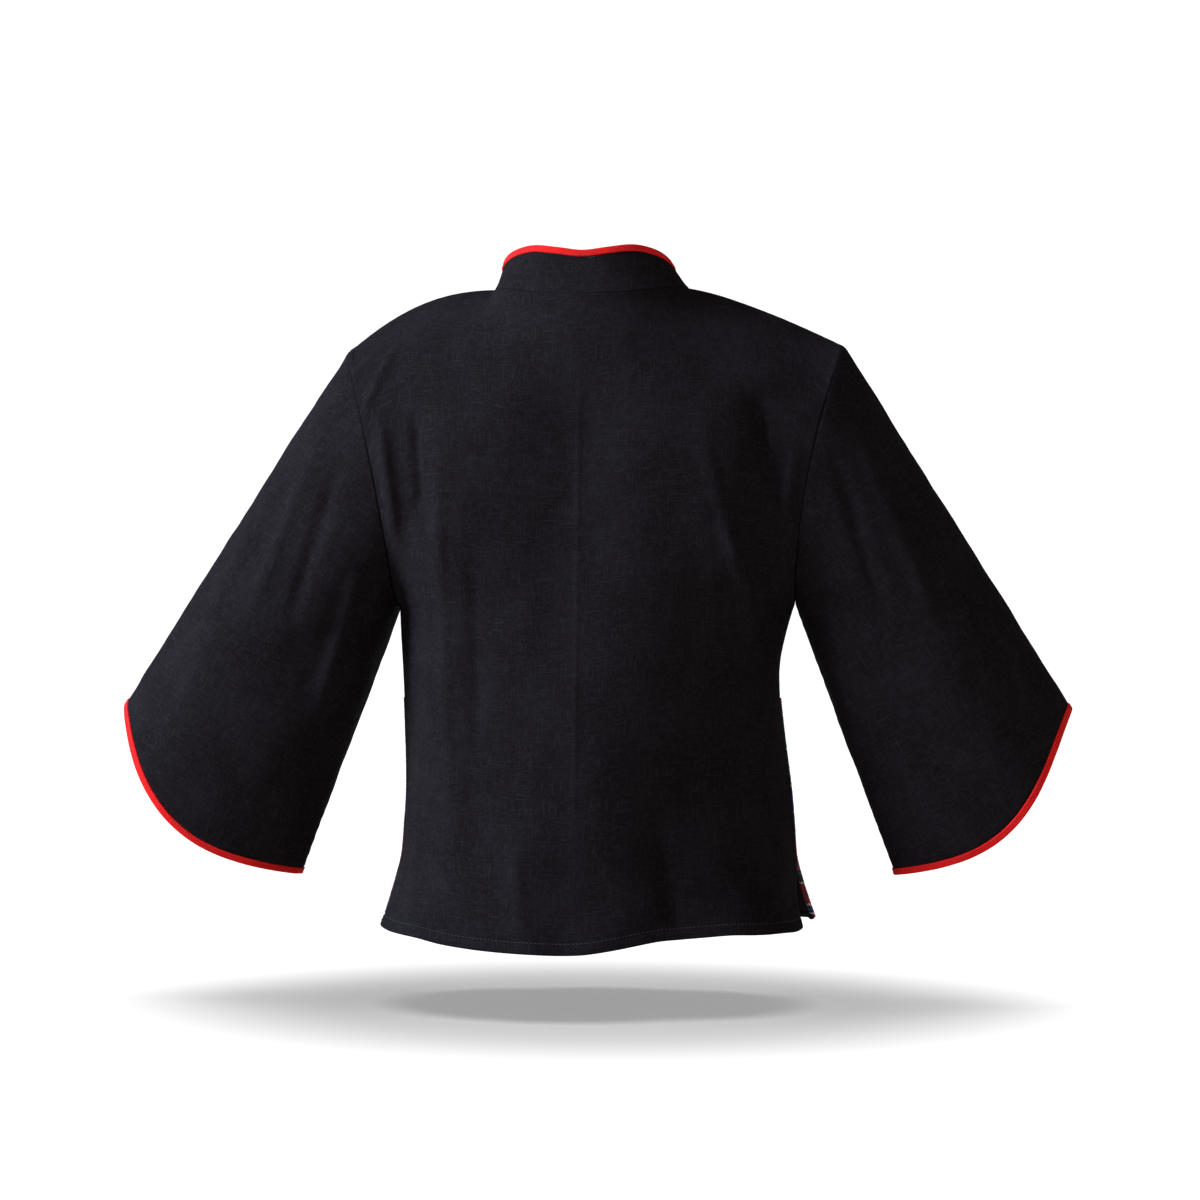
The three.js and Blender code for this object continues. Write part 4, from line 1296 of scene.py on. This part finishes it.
def stitch_block(name, cloth, colours, draw):
    rows, columns = colours.shape
    lattice = evenly(cloth, rows, columns)[::-1]
    normals = normals_of(lattice)
    normals *= np.sign((normals * (lattice - INSIDE)).sum(-1).mean())
    corners = [lattice[:-1, :-1], lattice[1:, 1:], lattice[:-1, 1:], lattice[1:, :-1]]
    up = normals[:-1, :-1]
    shakes = [[draw.gauss(0, HAND_SHAKE) for _ in range(rows * columns * 3)] for _ in range(4)]
    corners = [corner + np.array(shake).reshape(up.shape) for corner, shake in zip(corners, shakes)]
    under, under_flat = strands(corners[0], corners[1], up, STRAND_RISE[0])
    over, over_flat = strands(corners[2], corners[3], up, STRAND_RISE[1])
    points = np.concatenate([under.reshape(-1, 9, 3), over.reshape(-1, 9, 3)])
    flats_all = np.concatenate([under_flat.reshape(-1, 9, 2), over_flat.reshape(-1, 9, 2)])
    quads = np.array([(0, 3, 4, 1), (1, 4, 5, 2), (3, 6, 7, 4), (4, 7, 8, 5)])
    faces = (np.arange(len(points))[:, None, None] * 9 + quads).reshape(-1, 4)
    block = mesh_piece(name, points, faces, flats_all, [threads[thread] for thread in THREAD_NAMES])
    block.data.polygons.foreach_set("material_index", np.tile(np.repeat(colours.ravel(), 4), 2))
    block.data.update()
    return block


def build_twist():
    """Thread: its plies twist round it in slanting lines, and its dye is a little uneven."""
    tree, given, result = new_group(
        "twisted_thread",
        [("Along", "NodeSocketVector", None), ("Twists", "NodeSocketFloat", 1700.0)],
        [("Ply", "NodeSocketFloat"), ("Dye", "NodeSocketFloat")],
    )
    split = add_node(tree, "ShaderNodeSeparateXYZ", Vector=given["Along"]).outputs
    slant = maths(tree, "MULTIPLY_ADD", split["Y"], 1.3, split["X"])
    turned = maths(tree, "MULTIPLY", slant, maths(tree, "MULTIPLY", given["Twists"], 2 * math.pi))
    ply = maths(tree, "MULTIPLY_ADD", maths(tree, "SINE", turned), 0.5, 0.5)
    where = add_node(tree, "ShaderNodeTexCoord").outputs["Object"]
    dye = add_node(tree, "ShaderNodeTexNoise", Vector=where, Scale=210.0, Detail=3.0).outputs["Fac"]
    wire(tree, ply, result["Ply"])
    wire(tree, dye, result["Dye"])
    return tree


twisted_thread = build_twist()


def thread_material(name, colour, twists, roughness):
    material, tree, shader = principled(name, colour, roughness)
    twist = place_group(tree, twisted_thread, Along=on_cut(tree), Twists=twists)
    deep = tuple(0.62 * c for c in colour)
    pale = tuple(min(1.0, 1.25 * c + 0.004) for c in colour)
    dyed = ramp(tree, twist["Dye"], [(0.34, deep), (0.68, pale)])
    # painted shade: the grooves between the plies are coloured half as dark; the bump below also gives them
    # real relief
    painted_shade_between_plies = tuple(0.5 * c for c in colour)
    wire(tree, mixed(tree, twist["Ply"], painted_shade_between_plies, dyed), shader.inputs["Base Color"])
    rougher = min(1.0, roughness + 0.15)
    rough = add_node(tree, "ShaderNodeMapRange", Value=twist["Ply"], _3=rougher, _4=roughness)
    wire(tree, rough.outputs[0], shader.inputs["Roughness"])
    give_relief(tree, shader, twist["Ply"], 0.6, 0.1 * MM)
    shader.inputs["Specular IOR Level"].default_value = 0.3
    return material


threads = {name: thread_material(f"{name}_thread", colour, 1700.0, 0.55) for name, colour in THREADS.items()}
ground_cloth = weave_material(
    "dark_ground_cloth", (0.006, 0.005, 0.007), (0.012, 0.010, 0.013), (0.02, 0.018, 0.022), 0.8,
    1700.0, 0.3, 0.12 * MM, 0.1, 0.0,
)
blocks = {}
grounds = {}
for name, cloth in skins.items():
    width, height = (steps_along(cloth, axis).sum(axis=axis).mean() for axis in (1, 0))
    columns, rows = round(width / STITCH), round(height / STITCH)
    counted = chart(columns, rows)
    if name == "left":
        counted = counted[:, ::-1]
    blocks[name] = stitch_block(f"front_embroidery_{name}_stitches", cloth, counted, random.Random(name))
    flat = lay_flat(f"front_{name}", cloth)
    grounds[name] = grid_mesh(f"front_embroidery_{name}_ground", cloth, flat, ground_cloth, 0.5 * MM)
    print(name, rows, "rows of", columns, "stitches")

# %% [markdown]
# ## Rows of stitching
# Machine stitches hold the hem, the vents and the bindings. A stitch is a short length of thread that dives
# into the cloth at both ends, so it is drawn as a small rounded bead, and a row of them is one mesh.
# The hem's and the vents' are black on black and show only as a fine line; the bindings' are red.
# A few stitches in a pale thread are left at the back of the neck, where the collar was tacked on.

# %% Machine stitches
SEWING_RADIUS = 0.28 * MM
HEM_STITCH = (2.6 * MM, 0.9 * MM)  # the length of a stitch and of the gap after it
TAPE_STITCH = (2.2 * MM, 0.8 * MM)
BEAD_SIDES = 5


def bead_row(name, path, normals, length, gap, material, height=0.2 * MM):
    """Stitches of one length along a path, with gaps, lying on the cloth."""
    along = np.concatenate([[0], np.cumsum(steps_along(path, 0))])

    def at(distance, values):
        return read_off(distance, along, values)

    points, flat, faces = [], [], []
    start = gap
    while start + length < along[-1]:
        base = len(points)
        for k, size in ((0.0, 0.3), (0.2, 0.95), (0.8, 0.95), (1.0, 0.3)):
            here = at(start + k * length, path)
            ahead = at(start + k * length + 0.2 * MM, path) - at(start + k * length - 0.2 * MM, path)
            out = unit(at(start + k * length, normals))
            side = unit(np.cross(out, ahead))
            lift = height * (1 if 0 < k < 1 else -0.6)
            for j in range(BEAD_SIDES):
                turn = 2 * math.pi * j / BEAD_SIDES
                offset = side * math.cos(turn) + out * math.sin(turn)
                points.append(here + out * lift + offset * SEWING_RADIUS * size)
                flat.append((k * length, turn * SEWING_RADIUS))
        for ring in range(3):
            for j in range(BEAD_SIDES):
                a, b = base + ring * BEAD_SIDES + j, base + ring * BEAD_SIDES + (j + 1) % BEAD_SIDES
                faces.append((a, b, b + BEAD_SIDES, a + BEAD_SIDES))
        start += length + gap
    return mesh_piece(name, np.array(points), np.array(faces), np.array(flat), [material])


def line_inside(cloth, edge, distance):
    """The path that runs at a distance inside one edge of a sheet, and the normals along it."""
    lines = edge_distances(cloth)[edge], cloth, normals_of(cloth)
    if edge in ("top", "bottom"):
        lines = [grid.swapaxes(0, 1) for grid in lines]
    if edge in ("bottom", "last"):
        lines = [grid[:, ::-1] for grid in lines]
    away, points, normals = lines
    path = np.array([read_off(distance, a, line) for a, line in zip(away, points)])
    facing = np.array([read_off(distance, a, line) for a, line in zip(away, normals)])
    return path, facing


sewing_black = thread_material("black_sewing_thread", (0.012, 0.011, 0.014), 1900.0, 0.5)
sewing_red = thread_material("red_sewing_thread", (0.60, 0.012, 0.018), 1900.0, 0.45)
sewing_pale = thread_material("tacking_thread", (0.105, 0.085, 0.062), 1900.0, 0.6)
path, facing = line_inside(dressed["back"], "bottom", HEM)
hem_stitches = bead_row("hem_stitches", path, facing, *HEM_STITCH, sewing_black)


def tape_stitches(tape_name, edge, outward, normals, closed):
    """The row that holds a binding, just inside its upper fold."""
    path = edge + outward * 1.0 * MM + normals * 0.88 * MM
    if closed:
        path, normals = np.concatenate([path, path[:1]]), np.concatenate([normals, normals[:1]])
    return bead_row(tape_name + "_stitches", path, normals, *TAPE_STITCH, sewing_red, 0.12 * MM)


NECK_TACK_REACH = 5 * MM
NECK_TACK_HEIGHT = 1.5 * MM
VENT_INSET = 5 * MM
path, facing = line_inside(dressed["collar"], "bottom", NECK_TACK_HEIGHT)
behind = (np.abs(path[:, 0]) < NECK_TACK_REACH) & (path[:, 1] > 0)
neck_stitches = bead_row("neck_stitches", path[behind], facing[behind], *TAPE_STITCH, sewing_pale)
vents = []
vent_top = VENT_ROW * BACK_FINENESS
for edge in ("first", "last"):
    path, facing = (line[vent_top:] for line in line_inside(dressed["back"], edge, VENT_INSET))
    vents.append(bead_row(f"vent_{edge}_stitches", path, facing, *HEM_STITCH, sewing_black))
stitches = {name: tape_stitches(name, *edge) for name, edge in tape_edges.items()}
for row in [hem_stitches, neck_stitches, *vents, *stitches.values()]:
    print(row.name, len(row.data.polygons) // (3 * BEAD_SIDES), "stitches")

# %% [markdown]
# ## Handing the pieces over
# Each piece is hung from the root body, and where it stands for a piece of the construction model,
# that piece is hidden. The two boxes at the end give the model's size and that of the finished jacket.

# %% Hand over
def hand_over(piece, node):
    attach(piece, "root")
    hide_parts(node)


def go_with(piece):
    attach(piece, "root")


for name, piece in pieces.items():
    hand_over(piece, name)
for name, tape in tapes.items():
    hand_over(tape, "collar_binding" if name == "collar" else f"cuff_binding_{name}")
for row in stitches.values():
    go_with(row)
for row in [hem_stitches, neck_stitches, *vents]:
    go_with(row)
for name in SIDES:
    hand_over(grounds[name], f"front_embroidery_{name}")
    go_with(blocks[name])

# %% Sizes and finish
finished_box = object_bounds()
sizes = {"cad": [list(corner) for corner in cad_box], "visual": [list(corner) for corner in finished_box]}
for label, (low, high) in sizes.items():
    print(label, [round(b - a, 4) for a, b in zip(low, high)])
